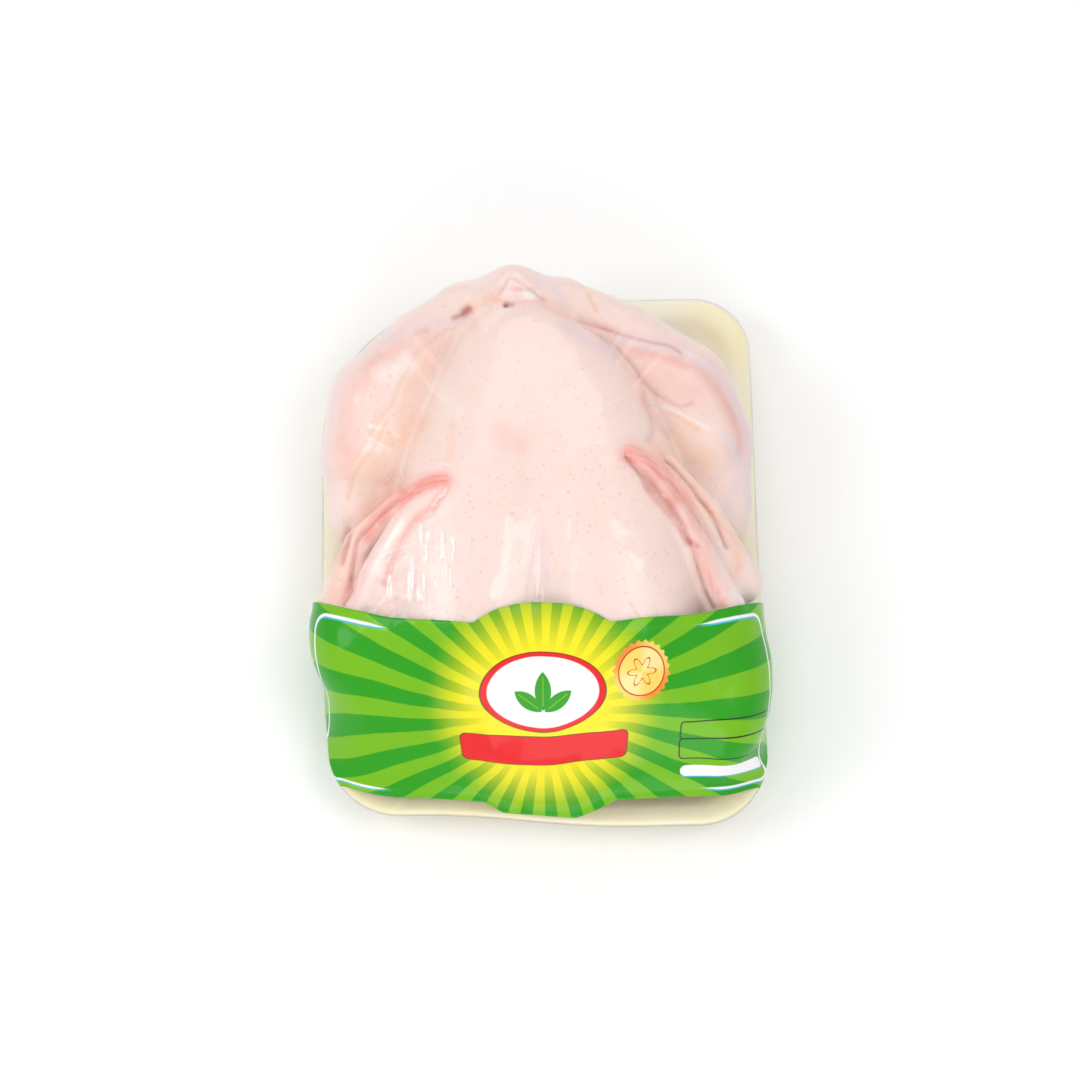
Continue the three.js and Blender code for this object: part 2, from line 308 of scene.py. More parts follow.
def add_masks(piece: Piece, name: str, channels: list[Array]) -> None:
    """Stores up to four masks on the vertices of a piece.

    Args:
        piece: The object.
        name: The attribute's name.
        channels: The masks, one number a vertex each.
    """
    values = np.zeros((len(channels[0]), 4))
    values[:, :len(channels)] = np.clip(np.column_stack(channels), 0.0, 1.0)
    store(piece, name, values)


def grid_faces(rows: int, columns: int, around: bool) -> Array:
    """Numbers the quads of a grid of points that is stored row by row.

    Args:
        rows: The number of rows of points.
        columns: The number of points in a row.
        around: Whether the last column joins the first.

    Returns:
        The quads, one a row.
    """
    steps = columns if around else columns - 1
    row, column = np.meshgrid(np.arange(rows - 1), np.arange(steps), indexing="ij")
    here, above, after = row * columns, (row + 1) * columns, (column + 1) % columns
    return np.stack([here + column, here + after, above + after, above + column], axis=-1).reshape(-1, 4)


def flat_ring(angles: Array, reach: Array, level: float) -> Array:
    """Places a ring of points at one height, each as far from the centre as its reach."""
    return np.column_stack([reach * np.cos(angles), reach * np.sin(angles), np.full(len(angles), level)])


def tube_faces(rings: int, columns: int) -> list[list[int]]:
    """Numbers the faces of a tube of rings that a point closes at each end.

    Args:
        rings: The number of rings, whose points are stored ring by ring.
        columns: The number of points in a ring.

    Returns:
        The faces, where the two end points come last: first the first ring's, then the last ring's.
    """
    faces = grid_faces(rings, columns, True).tolist()
    last, first_end = (rings - 1) * columns, rings * columns
    for column in range(columns):
        after = (column + 1) % columns
        faces.append([last + column, last + after, first_end + 1])
        faces.append([after, column, first_end])
    return faces


def skin_tree(piece: Piece) -> BVHTree:
    """Makes a tree of a piece's faces, in mm, to cast rays at."""
    faces = [tuple(face.vertices) for face in piece.data.polygons]
    return BVHTree.FromPolygons(vertex_places(piece).tolist(), faces)


def declare(piece: Piece, slot: str, *replaced: str) -> None:
    """Puts a piece on the pack's one body, hides the nodes that it stands for, and logs its size.

    Args:
        piece: The object.
        slot: The material slot that it would take its finish from; not used.
        replaced: Names of the nodes that it replaces.
    """
    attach(piece, BODY)
    if replaced:
        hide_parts(*replaced)
    faces = piece.data.polygons
    LOG.info("%s: %d vertices, %d faces", piece.name, len(piece.data.vertices), len(faces))


# ---- the tray ----
@dataclass(frozen=True)
class RimOutline:
    """The tray's rim seen from above: a rectangle with a radius of its own at each corner, in mm."""

    width: float = 188.0
    length: float = 235.0
    corner_radii: tuple[float, float, float, float] = (25.0, 64.0, 30.0, 29.0)
    radius_loss: float = 0.6
    least_radius: float = 6.0
    pressed_share: float = 0.055
    pressed_angle: float = math.radians(-117.0)
    pressed_half_arc: float = math.radians(46.0)

    def kept_share(self, angle: Array) -> Array:
        """Works out how much of its reach the outline keeps where the film presses it in."""
        off = np.arccos(np.clip(np.cos(angle - self.pressed_angle), -1.0, 1.0)) / self.pressed_half_arc
        return 1.0 - self.pressed_share * np.cos(np.minimum(off, 1.0) * math.pi / 2) ** 2

    def reach(self, angle: Array, inset: Array | float) -> Array:
        """Finds how far the outline lies from the centre.

        Args:
            angle: Directions, 0 along +X and a quarter turn along +Y.
            inset: How far in from the rim the outline runs, in mm.

        Returns:
            The distances in mm.
        """
        cos, sin = np.cos(angle), np.sin(angle)
        half_x, half_y = self.width / 2 - inset, self.length / 2 - inset
        tail_right, tail_left, neck_left, neck_right = self.corner_radii
        corner = np.where(
            sin >= 0,
            np.where(cos >= 0, tail_right, tail_left),
            np.where(cos < 0, neck_left, neck_right),
        )
        radius = np.maximum(corner - self.radius_loss * inset, self.least_radius)
        flat = np.minimum(half_x / np.maximum(np.abs(cos), 1e-9), half_y / np.maximum(np.abs(sin), 1e-9))
        centre_x = np.where(cos >= 0, 1, -1) * (half_x - radius)
        centre_y = np.where(sin >= 0, 1, -1) * (half_y - radius)
        in_corner = (np.abs(flat * cos) > np.abs(centre_x)) & (np.abs(flat * sin) > np.abs(centre_y))
        middle = cos * centre_x + sin * centre_y
        spread = np.maximum(middle**2 - centre_x**2 - centre_y**2 + radius**2, 0.0)
        return np.where(in_corner, middle + np.sqrt(spread), flat) * self.kept_share(angle)


@dataclass
class FoamTray:
    """The foam tray: a flanged rim, a sloping wall and a flat floor, all 4.5 mm thick."""

    outline: RimOutline = field(default_factory=RimOutline)
    height: float = 22.0
    foam: float = 4.5
    lip_depth: float = 4.6
    rim_bevel: float = 1.2
    flange: float = 8.0
    shoulder_run: float = 2.0
    shoulder_drop: float = 1.5
    wall_run: float = 18.0
    floor_bevel_run: float = 4.0
    floor_bevel_rise: float = 2.0
    foot_inset: float = 25.0
    underside: float = 0.25
    columns: int = 300
    step: float = 1.6
    roundings: int = 2
    dents: NoiseLayers = ((34.0, 5, 0.18), (9.0, 6, 0.05))
    air_over_rim: float = 0.3
    open_rise: float = 0.8
    open_inset: float = -60.0

    def profile(self) -> Array:
        """Lists the section's corners as inset from the rim and height, from the underside round."""
        lip_foot = self.height - self.lip_depth
        wall_foot = self.flange + self.wall_run
        centre = self.outline.width / 2
        return np.array([
            (centre, self.underside),
            (self.foot_inset + self.floor_bevel_rise, self.underside),
            (self.foot_inset, self.underside + self.rim_bevel),
            (self.flange - self.shoulder_run, lip_foot),
            (self.rim_bevel, lip_foot),
            (0.0, lip_foot + self.rim_bevel),
            (0.0, self.height - self.rim_bevel),
            (self.rim_bevel, self.height),
            (self.flange, self.height),
            (self.flange + self.shoulder_run, self.height - self.shoulder_drop),
            (wall_foot, self.foam + self.floor_bevel_rise),
            (wall_foot + self.floor_bevel_run, self.foam),
            (centre, self.foam),
        ])

    def section(self) -> Array:
        """Rounds the profile's corners and divides it into short steps.

        Returns:
            The section's points, as inset and height.
        """
        corners = self.profile()
        pieces = []
        for start, stop in zip(corners, corners[1:]):
            count = max(int(math.dist(start, stop) / self.step), 2)
            pieces.append(start + (stop - start) * (np.arange(count) / count)[:, None])
        line = np.vstack([*pieces, corners[-1:]])
        for _ in range(self.roundings):
            line[1:-1] = (line[:-2] + 2 * line[1:-1] + line[2:]) / 4
        return line

    def hollow_inset(self, height: Array) -> Array:
        """Finds how far in from the rim the tray's inside face lies.

        Args:
            height: Heights in mm.

        Returns:
            The insets in mm, below zero above the rim.
        """
        top, shoulder = self.height + self.air_over_rim, self.height - self.shoulder_drop
        levels = [self.foam, self.foam + self.floor_bevel_rise, shoulder, top, top + self.open_rise]
        wall, neck = self.flange + self.wall_run, self.flange + self.shoulder_run
        insets = [wall + self.floor_bevel_run, wall, neck, self.flange, self.open_inset]
        return np.interp(height, levels, insets)

    def build(self, material: Material) -> Piece:
        """Makes the tray's mesh.

        Args:
            material: The foam's finish.

        Returns:
            The tray.
        """
        angles = np.arange(self.columns) / self.columns * 2 * math.pi
        section = self.section()[1:-1]
        rings = [flat_ring(angles, self.outline.reach(angles, inset), level) for inset, level in section]
        points = np.vstack(rings)
        on_inside = (points[:, 2] > self.foam - 0.2) & (points[:, 2] < self.height - 0.6)
        points[:, 2] += np.where(on_inside, layered_noise(points, self.dents), 0.0)
        points = np.vstack([points, [[0.0, 0.0, self.underside], [0.0, 0.0, self.foam]]])
        return new_object("foam_tray", points, tube_faces(len(rings), self.columns), material)


# ---- the bird ----
@dataclass(frozen=True)
class Lump:
    """An ellipsoid of the bird's body: centre and radii in mm, and its turn about Z in degrees."""

    centre: Triple
    radii: Triple
    turn: float = 0.0

    def distance(self, points: Array) -> Array:
        """Measures how far points lie outside it, good near its surface.

        Args:
            points: Points in mm, one a row.

        Returns:
            The distances in mm, below zero inside.
        """
        turn = math.radians(self.turn)
        off = points - np.array(self.centre)
        local = np.column_stack([
            off[:, 0] * math.cos(turn) + off[:, 1] * math.sin(turn),
            off[:, 1] * math.cos(turn) - off[:, 0] * math.sin(turn),
            off[:, 2],
        ])
        scaled = local / np.array(self.radii)
        near = np.linalg.norm(scaled, axis=1)
        steep = np.linalg.norm(scaled / np.array(self.radii), axis=1)
        return near * (near - 1.0) / np.maximum(steep, 1e-9)


@dataclass(frozen=True)
class Limb:
    """A chain of joints, each x, y, z and a radius in mm, with tapered rods between them."""

    joints: tuple[tuple[float, float, float, float], ...]
    blend: float = 4.0

    def distance(self, points: Array) -> Array:
        """Measures how far points lie outside it.

        Args:
            points: Points in mm, one a row.

        Returns:
            The distances in mm, below zero inside.
        """
        best = np.full(len(points), np.inf)
        for start, stop in zip(self.joints, self.joints[1:]):
            origin, way = np.array(start[:3]), np.array(stop[:3]) - np.array(start[:3])
            t = np.clip((points - origin) @ way / (way @ way), 0.0, 1.0)
            off = np.linalg.norm(points - origin - t[:, None] * way, axis=1)
            best = np.minimum(best, off - (start[3] + (stop[3] - start[3]) * t))
        return best


def blended(first: Array, second: Array, blend: float) -> Array:
    """Takes the smaller of two distances, with a fillet where they are alike."""
    near = np.maximum(blend - np.abs(first - second), 0.0) / blend
    return np.minimum(first, second) - near * near * blend / 4


class Tint(Enum):
    """What a mark on the skin is made of, or the painted shade that it stands for."""

    MEAT = "red flesh"
    # painted shade: the skin darkened where shade falls in gaps, creases and hollows
    PAINTED_SHADE = "dark gaps and creases"
    LILAC = "thin grey-violet skin"
    FAT = "yellow-orange fat under the skin"
    PALE = "whitish skin"
    # pink skin of the legs and wing flaps, and painted shade along creases, in folds and over the bridged
    # pocket
    BLUSH_AND_SHADE = "pink shading"


MEAT, PAINTED_SHADE, LILAC, FAT, PALE, BLUSH_AND_SHADE = Tint


@dataclass(frozen=True)
class Mark:
    """A stroke of colour on the skin: its line on the drawing plane, half width and strength."""

    tint: Tint
    line: Line
    width: float
    strength: float
    filled: bool = False


@dataclass(frozen=True)
class Fold:
    """A crease (depth above zero) or ridge (below zero) along a line on the drawing plane, in mm."""

    line: Line
    width: float
    depth: float


@dataclass(frozen=True)
class Gathers:
    """Short wrinkles square to a line: how far they reach to each side, their pitch and their height, and the
    tint and strength of the painted shade in their valleys.
    """

    line: Line
    left: float
    right: float
    pitch: float
    height: float
    tint: Tint | None = None
    strength: float = 0.0


CREASE_RIGHT: Line = (
    (1.5, 100.5), (15.5, 94), (26.5, 90), (39.5, 86), (54, 83), (59.5, 80), (68.5, 75.5), (76, 69),
)
CREASE_LEFT: Line = (
    (-38.5, 89.5), (-50.5, 80), (-56.5, 70.5), (-60.5, 63), (-62, 58), (-66.5, 53.5), (-72.5, 44),
    (-79.5, 32),
)
BREAST_RIGHT: Line = (
    (19.5, 90.5), (25.5, 87), (32.5, 81.5), (39.5, 73.5), (45.5, 65), (52.5, 60), (59.5, 57), (64.5, 58.5),
)
LEG_RIGHT: Line = ((39, 81), (55, 77.5), (68, 71.5), (76, 63), (81.5, 53.5), (84.5, 44), (84, 36.5))
LEG_LEFT: Line = (
    (-45.5, 87), (-57, 83), (-68, 76.5), (-75.5, 69), (-80, 59.5), (-81.5, 49), (-82, 38.5), (-83, 30),
)
LEG_LEFT_EDGE: Line = (
    (-36, 92.5), (-51, 91.5), (-65.5, 85), (-78.5, 76), (-87, 62), (-90, 47), (-90.5, 32), (-90, 17.5),
)
WING_LEFT: Line = (
    (-40, 26), (-46.5, 25), (-54, 21.5), (-61.5, 16), (-68, 9.5), (-73.5, 2.5), (-77, -5), (-79, -13),
    (-81, -24),
)
WING_LEFT_GROOVE: Line = (
    (-60.5, 18), (-66.5, 12.5), (-73, 6), (-77.5, 0), (-79, -10), (-80.5, -19), (-84, -26.5),
)
WING_LEFT_FLAP: Line = (
    (-59.5, 22), (-66.5, 17.5), (-73.5, 11.5), (-80, 4), (-83, -4.5), (-84.5, -14.5), (-87, -25),
)
WING_LEFT_INNER: Line = (
    (-39.5, 23.5), (-43.5, 17.5), (-47.5, 12.5), (-51, 10), (-56.5, 3), (-62, -8), (-65, -18.5),
)
WING_RIGHT: Line = (
    (38, 37.5), (45.5, 33.5), (52.5, 27), (59.5, 18), (64.5, 9), (67.5, 0.5), (70.5, -10), (74.5, -21.5),
)
WING_RIGHT_INNER: Line = (
    (37, 36), (43, 29), (47.5, 26), (52.5, 19.5), (58, 12), (62.5, 2.5), (64.5, -3), (68.5, -19), (73, -29),
)
WING_RIGHT_GROOVE: Line = ((54, 34.5), (62, 26.5), (68, 18), (74.5, 9), (79, -3))
WING_RIGHT_FLAP: Line = (
    (48.5, 40), (55.5, 33), (63.5, 23.5), (70, 15), (75.5, 8), (81.5, 0.5), (83, -8), (82.5, -14.5),
)
BRIDGED_RIGHT: Line = (
    (37, 35), (42.5, 29.5), (44.5, 23), (50.5, 15.5), (57.5, 7), (62.5, -1), (64, 0), (58.5, 12),
    (52, 21), (45, 29),
)
BREAST_RIGHT_HEM: Line = ((39.5, 74), (45.5, 66.5), (52.5, 61.5), (59.5, 58.5), (64.5, 59.5))
WING_LEFT_HEM: Line = ((-66.5, 21), (-63.5, 24), (-60, 26.5), (-56.5, 27), (-53.5, 27.5))
THIGH_HOLLOW: Line = ((44.5, 61), (47, 55.5), (48.5, 50), (48.5, 46), (46.5, 43))
THIGH_RIDGE: Line = ((51, 57), (58, 54.5), (66, 50.5), (71, 47.5))
THIGH_CREASE: Line = ((-64.5, 51), (-70.5, 39), (-76, 31.5), (-79.5, 25), (-81.5, 17.5))
TAIL_CREASE: Line = ((21, 104.5), (22.5, 101), (24, 97.5))
LEG_LEFT_DIMPLE: Line = ((-52.5, 88), (-48, 89.5))
WING_RIGHT_TUCK: Line = ((63.5, 0), (67, -2))

# Marks in the shade tint are painted shade, laid in creases, gaps, hollows and the vent.
MARKS: tuple[Mark, ...] = (
    # the right leg and the edge of the breast beside it
    Mark(BLUSH_AND_SHADE, LEG_RIGHT, 4.5, 0.75),
    Mark(PAINTED_SHADE, LEG_RIGHT, 1.5, 0.12),
    Mark(LILAC, ((34, 86), (57.5, 81), (73, 72.5), (82.5, 59.5), (88, 46), (90, 32), (90, 17.5)), 3.0, 0.8),
    Mark(PAINTED_SHADE, CREASE_RIGHT[1:6], 0.7, 0.4),
    # painted shade along the right crease
    Mark(BLUSH_AND_SHADE, CREASE_RIGHT, 2.4, 0.5),
    Mark(PAINTED_SHADE, BREAST_RIGHT, 0.7, 0.3),
    Mark(BLUSH_AND_SHADE, ((48, 72), (58, 68), (66, 62)), 9.0, 0.45),
    Mark(LILAC, ((9.5, 91), (21, 85), (30.5, 80)), 3.2, 0.7),
    Mark(PAINTED_SHADE, THIGH_HOLLOW, 1.5, 0.22),
    Mark(PAINTED_SHADE, ((48.5, 54), (51, 48), (54, 45)), 2.6, 0.16),
    Mark(FAT, ((54.5, 55), (60.5, 51.5), (67, 47)), 1.0, 0.9),
    Mark(PALE, THIGH_RIDGE, 0.8, 0.8),
    Mark(FAT, ((59, 42), (65, 38), (70, 34)), 5.5, 0.5),
    Mark(LILAC, ((79.5, 44), (84, 34.5), (88, 26), (89, 17)), 3.5, 0.8),
    Mark(LILAC, ((87, 32), (82.5, 21.5), (76, 9)), 2.4, 0.6),
    # the tail
    Mark(FAT, TAIL_CREASE, 0.8, 0.9),
    Mark(LILAC, ((1.5, 110), (6.5, 106.5), (9.5, 101)), 2.6, 0.75),
    Mark(FAT, ((-29.5, 99), (-24.5, 101), (-18.5, 103.5)), 2.2, 0.5),
    Mark(PAINTED_SHADE, ((-36.5, 94.5), (-33, 96), (-29.5, 98.5)), 1.1, 0.7),
    Mark(PAINTED_SHADE, ((-32.5, 96.5), (-30, 98.2)), 1.8, 0.9),
    Mark(PAINTED_SHADE, LEG_LEFT_DIMPLE, 1.2, 0.22),
    Mark(LILAC, ((-65.5, 85), (-53, 90), (-42.5, 92.5), (-34, 94.5)), 2.6, 0.8),
    Mark(PAINTED_SHADE, ((-18, 104), (-15, 107.5), (-12.5, 111.5), (-5, 107), (1.5, 102)), 0.6, 0.3),
    Mark(BLUSH_AND_SHADE, ((-18.5, 102), (-12.5, 100.5), (-6.5, 101.5), (1.5, 102)), 1.4, 0.8),
    Mark(LILAC, ((-16.5, 105), (-15, 109)), 1.1, 1.0),
    Mark(MEAT, ((-11, 107), (-8.5, 106.5)), 1.0, 0.45),
    Mark(PALE, ((-6.5, 104.5), (-3.5, 103.5)), 1.6, 0.9),
    Mark(PAINTED_SHADE, ((-14.2, 100.2), (-12, 100)), 1.1, 0.6),
    # the left leg
    Mark(BLUSH_AND_SHADE, LEG_LEFT, 5.5, 0.55),
    Mark(LILAC, LEG_LEFT_EDGE, 2.6, 0.5),
    Mark(PALE, ((-65, 70.5), (-60.5, 73), (-56.5, 75.5)), 3.4, 0.7),
    Mark(FAT, CREASE_LEFT, 0.8, 0.5),
    Mark(FAT, THIGH_CREASE, 0.9, 0.8),
    Mark(FAT, ((-50.5, 50), (-59.5, 43), (-68.5, 35), (-72, 24)), 5.5, 0.45),
    Mark(FAT, ((-46.5, 80), (-54, 66), (-58.5, 55.5)), 3.5, 0.35),
    Mark(MEAT, ((-64.3, 46), (-63.7, 46)), 0.7, 0.5),
    # the breast
    Mark(PALE, ((-43, 65), (-35.5, 54)), 3.6, 0.4),
    Mark(BLUSH_AND_SHADE, ((-17, 47), (-13.5, 44), (-8.5, 41)), 4.5, 0.45),
    Mark(FAT, ((-38.5, 35), (-36.5, 54)), 1.6, 0.35),
    Mark(LILAC, ((0, 2), (1, -6), (2, -14)), 3.4, 0.7),
    Mark(PAINTED_SHADE, ((38, -26), (43, -33.5)), 0.4, 0.35),
    # the left wing
    Mark(MEAT, WING_LEFT[:6], 3.3, 1.0),
    Mark(MEAT, WING_LEFT[4:], 4.6, 0.32),
    Mark(MEAT, WING_LEFT_INNER, 2.0, 0.6),
    Mark(PAINTED_SHADE, WING_LEFT_GROOVE, 0.9, 0.5),
    Mark(FAT, WING_LEFT_FLAP, 4.2, 0.5),
    Mark(BLUSH_AND_SHADE, WING_LEFT_FLAP, 5.5, 0.35),
    Mark(MEAT, ((-81, 3), (-83, -3), (-84.5, -9)), 1.8, 0.6),
    Mark(PAINTED_SHADE, ((-81.5, 5), (-82.7, -2), (-84.3, -9)), 1.4, 0.45),
    Mark(BLUSH_AND_SHADE, ((-58, -14), (-63, -24), (-68, -33)), 5.0, 0.45),
    Mark(PAINTED_SHADE, ((-69, -16), (-65.5, -18.5)), 1.2, 0.25),
    # the right wing
    Mark(MEAT, WING_RIGHT[:4], 4.6, 0.75),
    Mark(MEAT, ((63.5, -0.5), (66.5, -2), (69, -5)), 2.2, 0.6),
    Mark(MEAT, WING_RIGHT[3:], 4.4, 0.38),
    Mark(MEAT, ((66.5, -4.5), (71, -14.5), (77, -26.5)), 3.2, 0.5),
    Mark(PAINTED_SHADE, WING_RIGHT_INNER, 0.9, 0.55),
    Mark(PAINTED_SHADE, WING_RIGHT_GROOVE, 0.9, 0.6),
    Mark(FAT, WING_RIGHT_FLAP, 3.4, 0.7),
    Mark(MEAT, WING_RIGHT_FLAP, 2.6, 0.2),
    # the pocket where the film bridges beside the right wing, painted as shade
    Mark(BLUSH_AND_SHADE, BRIDGED_RIGHT, 1.0, 1.0, filled=True),
    Mark(PAINTED_SHADE, BRIDGED_RIGHT, 1.0, 0.3, filled=True),
    Mark(PAINTED_SHADE, WING_RIGHT_TUCK, 1.3, 0.6),
    Mark(PALE, ((56.5, 9), (62.5, 4.5), (68, 0.5)), 0.9, 0.5),
    Mark(PALE, ((77, -3), (82.5, -16.5), (85.5, -27)), 3.0, 0.5),
)

FOLDS: tuple[Fold, ...] = (
    Fold(CREASE_RIGHT, 1.2, 0.8),
    Fold(BREAST_RIGHT, 1.0, 0.5),
    Fold(CREASE_LEFT, 1.0, 0.5),
    Fold(THIGH_CREASE, 1.0, 0.6),
    Fold(THIGH_HOLLOW, 2.6, 1.4),
    Fold(THIGH_RIDGE, 1.0, -0.35),
    Fold(WING_LEFT_GROOVE, 1.4, 1.8),
    Fold(WING_LEFT_INNER, 1.6, 1.2),
    Fold(((-81.5, 6), (-82.5, -1.5), (-84.5, -9.5)), 1.8, 1.5),
    Fold(WING_RIGHT_INNER, 1.4, 1.8),
    Fold(WING_RIGHT_GROOVE, 1.3, 1.8),
    Fold(WING_RIGHT_TUCK, 1.6, 1.4),
    Fold(TAIL_CREASE, 0.9, 0.6),
    Fold(LEG_LEFT_DIMPLE, 1.3, 0.5),
)

# Each row's tint is painted into its wrinkles' valleys, as painted shade in the folds.
GATHERS: tuple[Gathers, ...] = (
    Gathers(WING_RIGHT_FLAP[:6], 1.5, 3.2, 2.6, 0.35, MEAT, 0.3),
    Gathers(BREAST_RIGHT_HEM, 9.0, 0.5, 2.1, 0.30, BLUSH_AND_SHADE, 0.5),
    Gathers(((20, 92), (30, 87), (40, 84)), 1.0, 5.0, 2.3, 0.25, BLUSH_AND_SHADE, 0.5),
    Gathers(WING_LEFT_HEM, 5.0, 0.5, 1.7, 0.15, PAINTED_SHADE, 0.35),
    Gathers(CREASE_LEFT[4:], 0.5, 6.0, 2.6, 0.2, BLUSH_AND_SHADE, 0.35),
)


@dataclass
class Chicken:
    """The raw bird on its back in its tray: its body as lumps, its limbs as chains, and its skin's marks."""

    tray: FoamTray
    lumps: tuple[Lump, ...] = (
        Lump((0, -2, 42), (62, 98, 37)),  # back and ribs
        Lump((-21, 4, 57), (40, 86, 35.5), -8),  # left breast
        Lump((24, 4, 57), (40, 86, 35.5), 10),  # right breast
        Lump((-2, 54, 56), (39, 52, 30), 3),  # belly, up to the keel's end
        Lump((-3, -60, 36), (66, 40, 26)),  # neck end
        Lump((-74, -40, 40), (23, 31, 25), 8),  # left shoulder
        Lump((73.5, -62, 39), (22, 38, 25), -6),  # right shoulder
    )
    limbs: tuple[Limb, ...] = (
        Limb(((-9, 88, 48, 18), (-9, 108, 55, 13)), 3.0),  # tail
        Limb((  # left drumstick
            (-32, 103, 53, 11), (-50, 87, 49, 16), (-66, 62, 47, 24), (-70, 38, 44, 23), (-73, 18, 41, 17),
        )),
        Limb((  # right drumstick
            (12, 104, 54, 11), (37, 90, 50, 15), (62, 66, 46, 22), (70, 42, 44, 22), (75, 18, 41, 16),
        ), 2.5),
        Limb(((-38, 44, 32, 25), (-66, 12, 36, 20)), 7.0),  # left thigh
        Limb(((38, 44, 32, 25), (66, 12, 36, 20)), 7.0),  # right thigh
        Limb(((-40, 14, 82, 4.5), (-54, 0, 77, 7), (-66, -18, 68, 8), (-74, -34, 57, 10)), 2.5),  # left wing
        Limb(((38, 24, 83, 4.5), (51, 7, 78, 7), (64, -13, 70, 8), (75, -34, 58, 10)), 2.5),  # right wing
        Limb(((-58, 10, 73, 4.5), (-75, -4, 61, 7), (-83, -26, 47, 10)), 2.0),  # left wing's flap
        Limb(((-55, -20, 70, 6), (-61, -35, 64, 8), (-68, -52, 54, 9)), 5.0),  # flesh beside the left wing
        Limb(((54, 24, 73, 4.5), (69, 5, 66, 7), (83, -20, 48, 10)), 2.0),  # right wing's flap
        Limb(((-31, 103, 52, 11), (-10, 108, 54, 12.5), (11, 104, 53, 11)), 3.0),  # skin from leg to leg
        Limb(((-12, 110, 65, 2.2), (-8, 104.5, 65.5, 4.6)), 1.5),  # flesh over the vent
        Limb(((-15, 104, 65, 3.2), (-4, 102.5, 65.5, 4.2)), 1.5),
    )
    hollows: tuple[Limb, ...] = (
        Limb(((-12.5, 97, 74, 0.9), (-12.5, 99, 65.5, 1.3)), 2.0),  # the vent
        Limb(((-36, 93, 68, 0.8), (-29, 97.5, 68, 1.6)), 2.5),  # the gap beside it
    )
    body_blend: float = 7.0
    cell: float = 1.12
    coarse: int = 4
    low: Triple = (-102.0, -118.0, 3.0)
    high: Triple = (102.0, 124.0, 97.0)
    side_gap: float = 0.4
    floor_gap: float = 0.3
    facing: float = 0.12
    relief_foot: float = 26.0
    relief_rise: float = 8.0
    swells: NoiseLayers = ((11.0, 21, 0.22), (4.5, 22, 0.10), (2.2, 23, 0.05))
    unevenness: NoiseLayers = ((6.0, 31, 0.3), (2.5, 32, 0.2))
    fold_wobble: float = 0.35
    fibre_height: float = 0.28
    fibre_run: float = 9.0
    fibre_pitch: float = 1.3
    flesh_reach: float = 6.5
    wing_apart: float = 60.0
    hidden_level: float = 21.0
    kept_of_hidden: float = 0.12

    def distance(self, points: Array) -> Array:
        """Measures how far points lie outside the bird, whose skin doesn't enter the tray.

        Args:
            points: Points in mm, one a row.

        Returns:
            The distances in mm, below zero inside.
        """
        total = np.full(len(points), np.inf)
        for lump in self.lumps:
            total = blended(total, lump.distance(points), self.body_blend)
        for limb in self.limbs:
            total = blended(total, limb.distance(points), limb.blend)
        for hollow in self.hollows:
            total = -blended(-total, hollow.distance(points), hollow.blend)
        inset = self.tray.hollow_inset(points[:, 2])
        rim = self.tray.outline.reach(np.arctan2(points[:, 1], points[:, 0]), inset)
        beyond = np.hypot(points[:, 0], points[:, 1]) - rim + self.side_gap
        floor = self.tray.foam + self.floor_gap - points[:, 2]
        return np.maximum(np.maximum(total, floor), np.where(inset < 0, -np.inf, beyond))

    def volume(self) -> tuple[Array, Array]:
        """Works out the distances on a grid, finely only near the skin.

        Returns:
            The grid of distances and its first corner.
        """
        low = np.array(self.low)
        size = self.cell * self.coarse
        blocks = np.ceil((np.array(self.high) - low) / size).astype(int)
        axes = [low[k] + (np.arange(blocks[k]) + 0.5) * size - self.cell / 2 for k in range(3)]
        centres = np.stack(np.meshgrid(*axes, indexing="ij"), axis=-1).reshape(-1, 3)
        rough = self.distance(centres).reshape(blocks)
        half_diagonal, margin = size * 0.9, 1.5
        near = np.abs(rough) < half_diagonal + self.body_blend / 4 + margin
        fine, close = rough, near
        for axis in range(3):
            fine = np.repeat(fine, self.coarse, axis)
            close = np.repeat(close, self.coarse, axis)
        spots = np.argwhere(close)
        fine = fine.astype(np.float32)
        fine[close] = self.distance(low + spots * self.cell)
        return fine, low

    def skin(self) -> tuple[Array, Array]:
        """Finds the skin as a mesh of quads, one corner in each grid cell that the skin crosses.

        Returns:
            The points in mm and the quads.
        """
        values, low = self.volume()
        inside = values < 0
        shape = np.array(inside.shape) - 1
        corners = [inside[x:x + shape[0], y:y + shape[1], z:z + shape[2]] for x, y, z in np.ndindex(2, 2, 2)]
        filled = np.sum(corners, axis=0)
        cells = np.argwhere((filled > 0) & (filled < 8))
        number = np.full(shape, -1)
        number[tuple(cells.T)] = np.arange(len(cells))
        total, count = np.zeros((len(cells), 3)), np.zeros(len(cells))
        for start in np.ndindex(2, 2, 2):
            for axis in range(3):
                if start[axis]:
                    continue
                stop = list(start)
                stop[axis] = 1
                first = values[tuple((cells + start).T)]
                second = values[tuple((cells + stop).T)]
                crossed = (first < 0) != (second < 0)
                share = np.where(crossed, first / np.where(crossed, first - second, 1.0), 0.0)
                place = np.array(start) + share[:, None] * (np.array(stop) - start)
                total += np.where(crossed[:, None], place, 0.0)
                count += crossed
        points = low + (cells + total / count[:, None]) * self.cell
        return points, self.quads(inside, number)

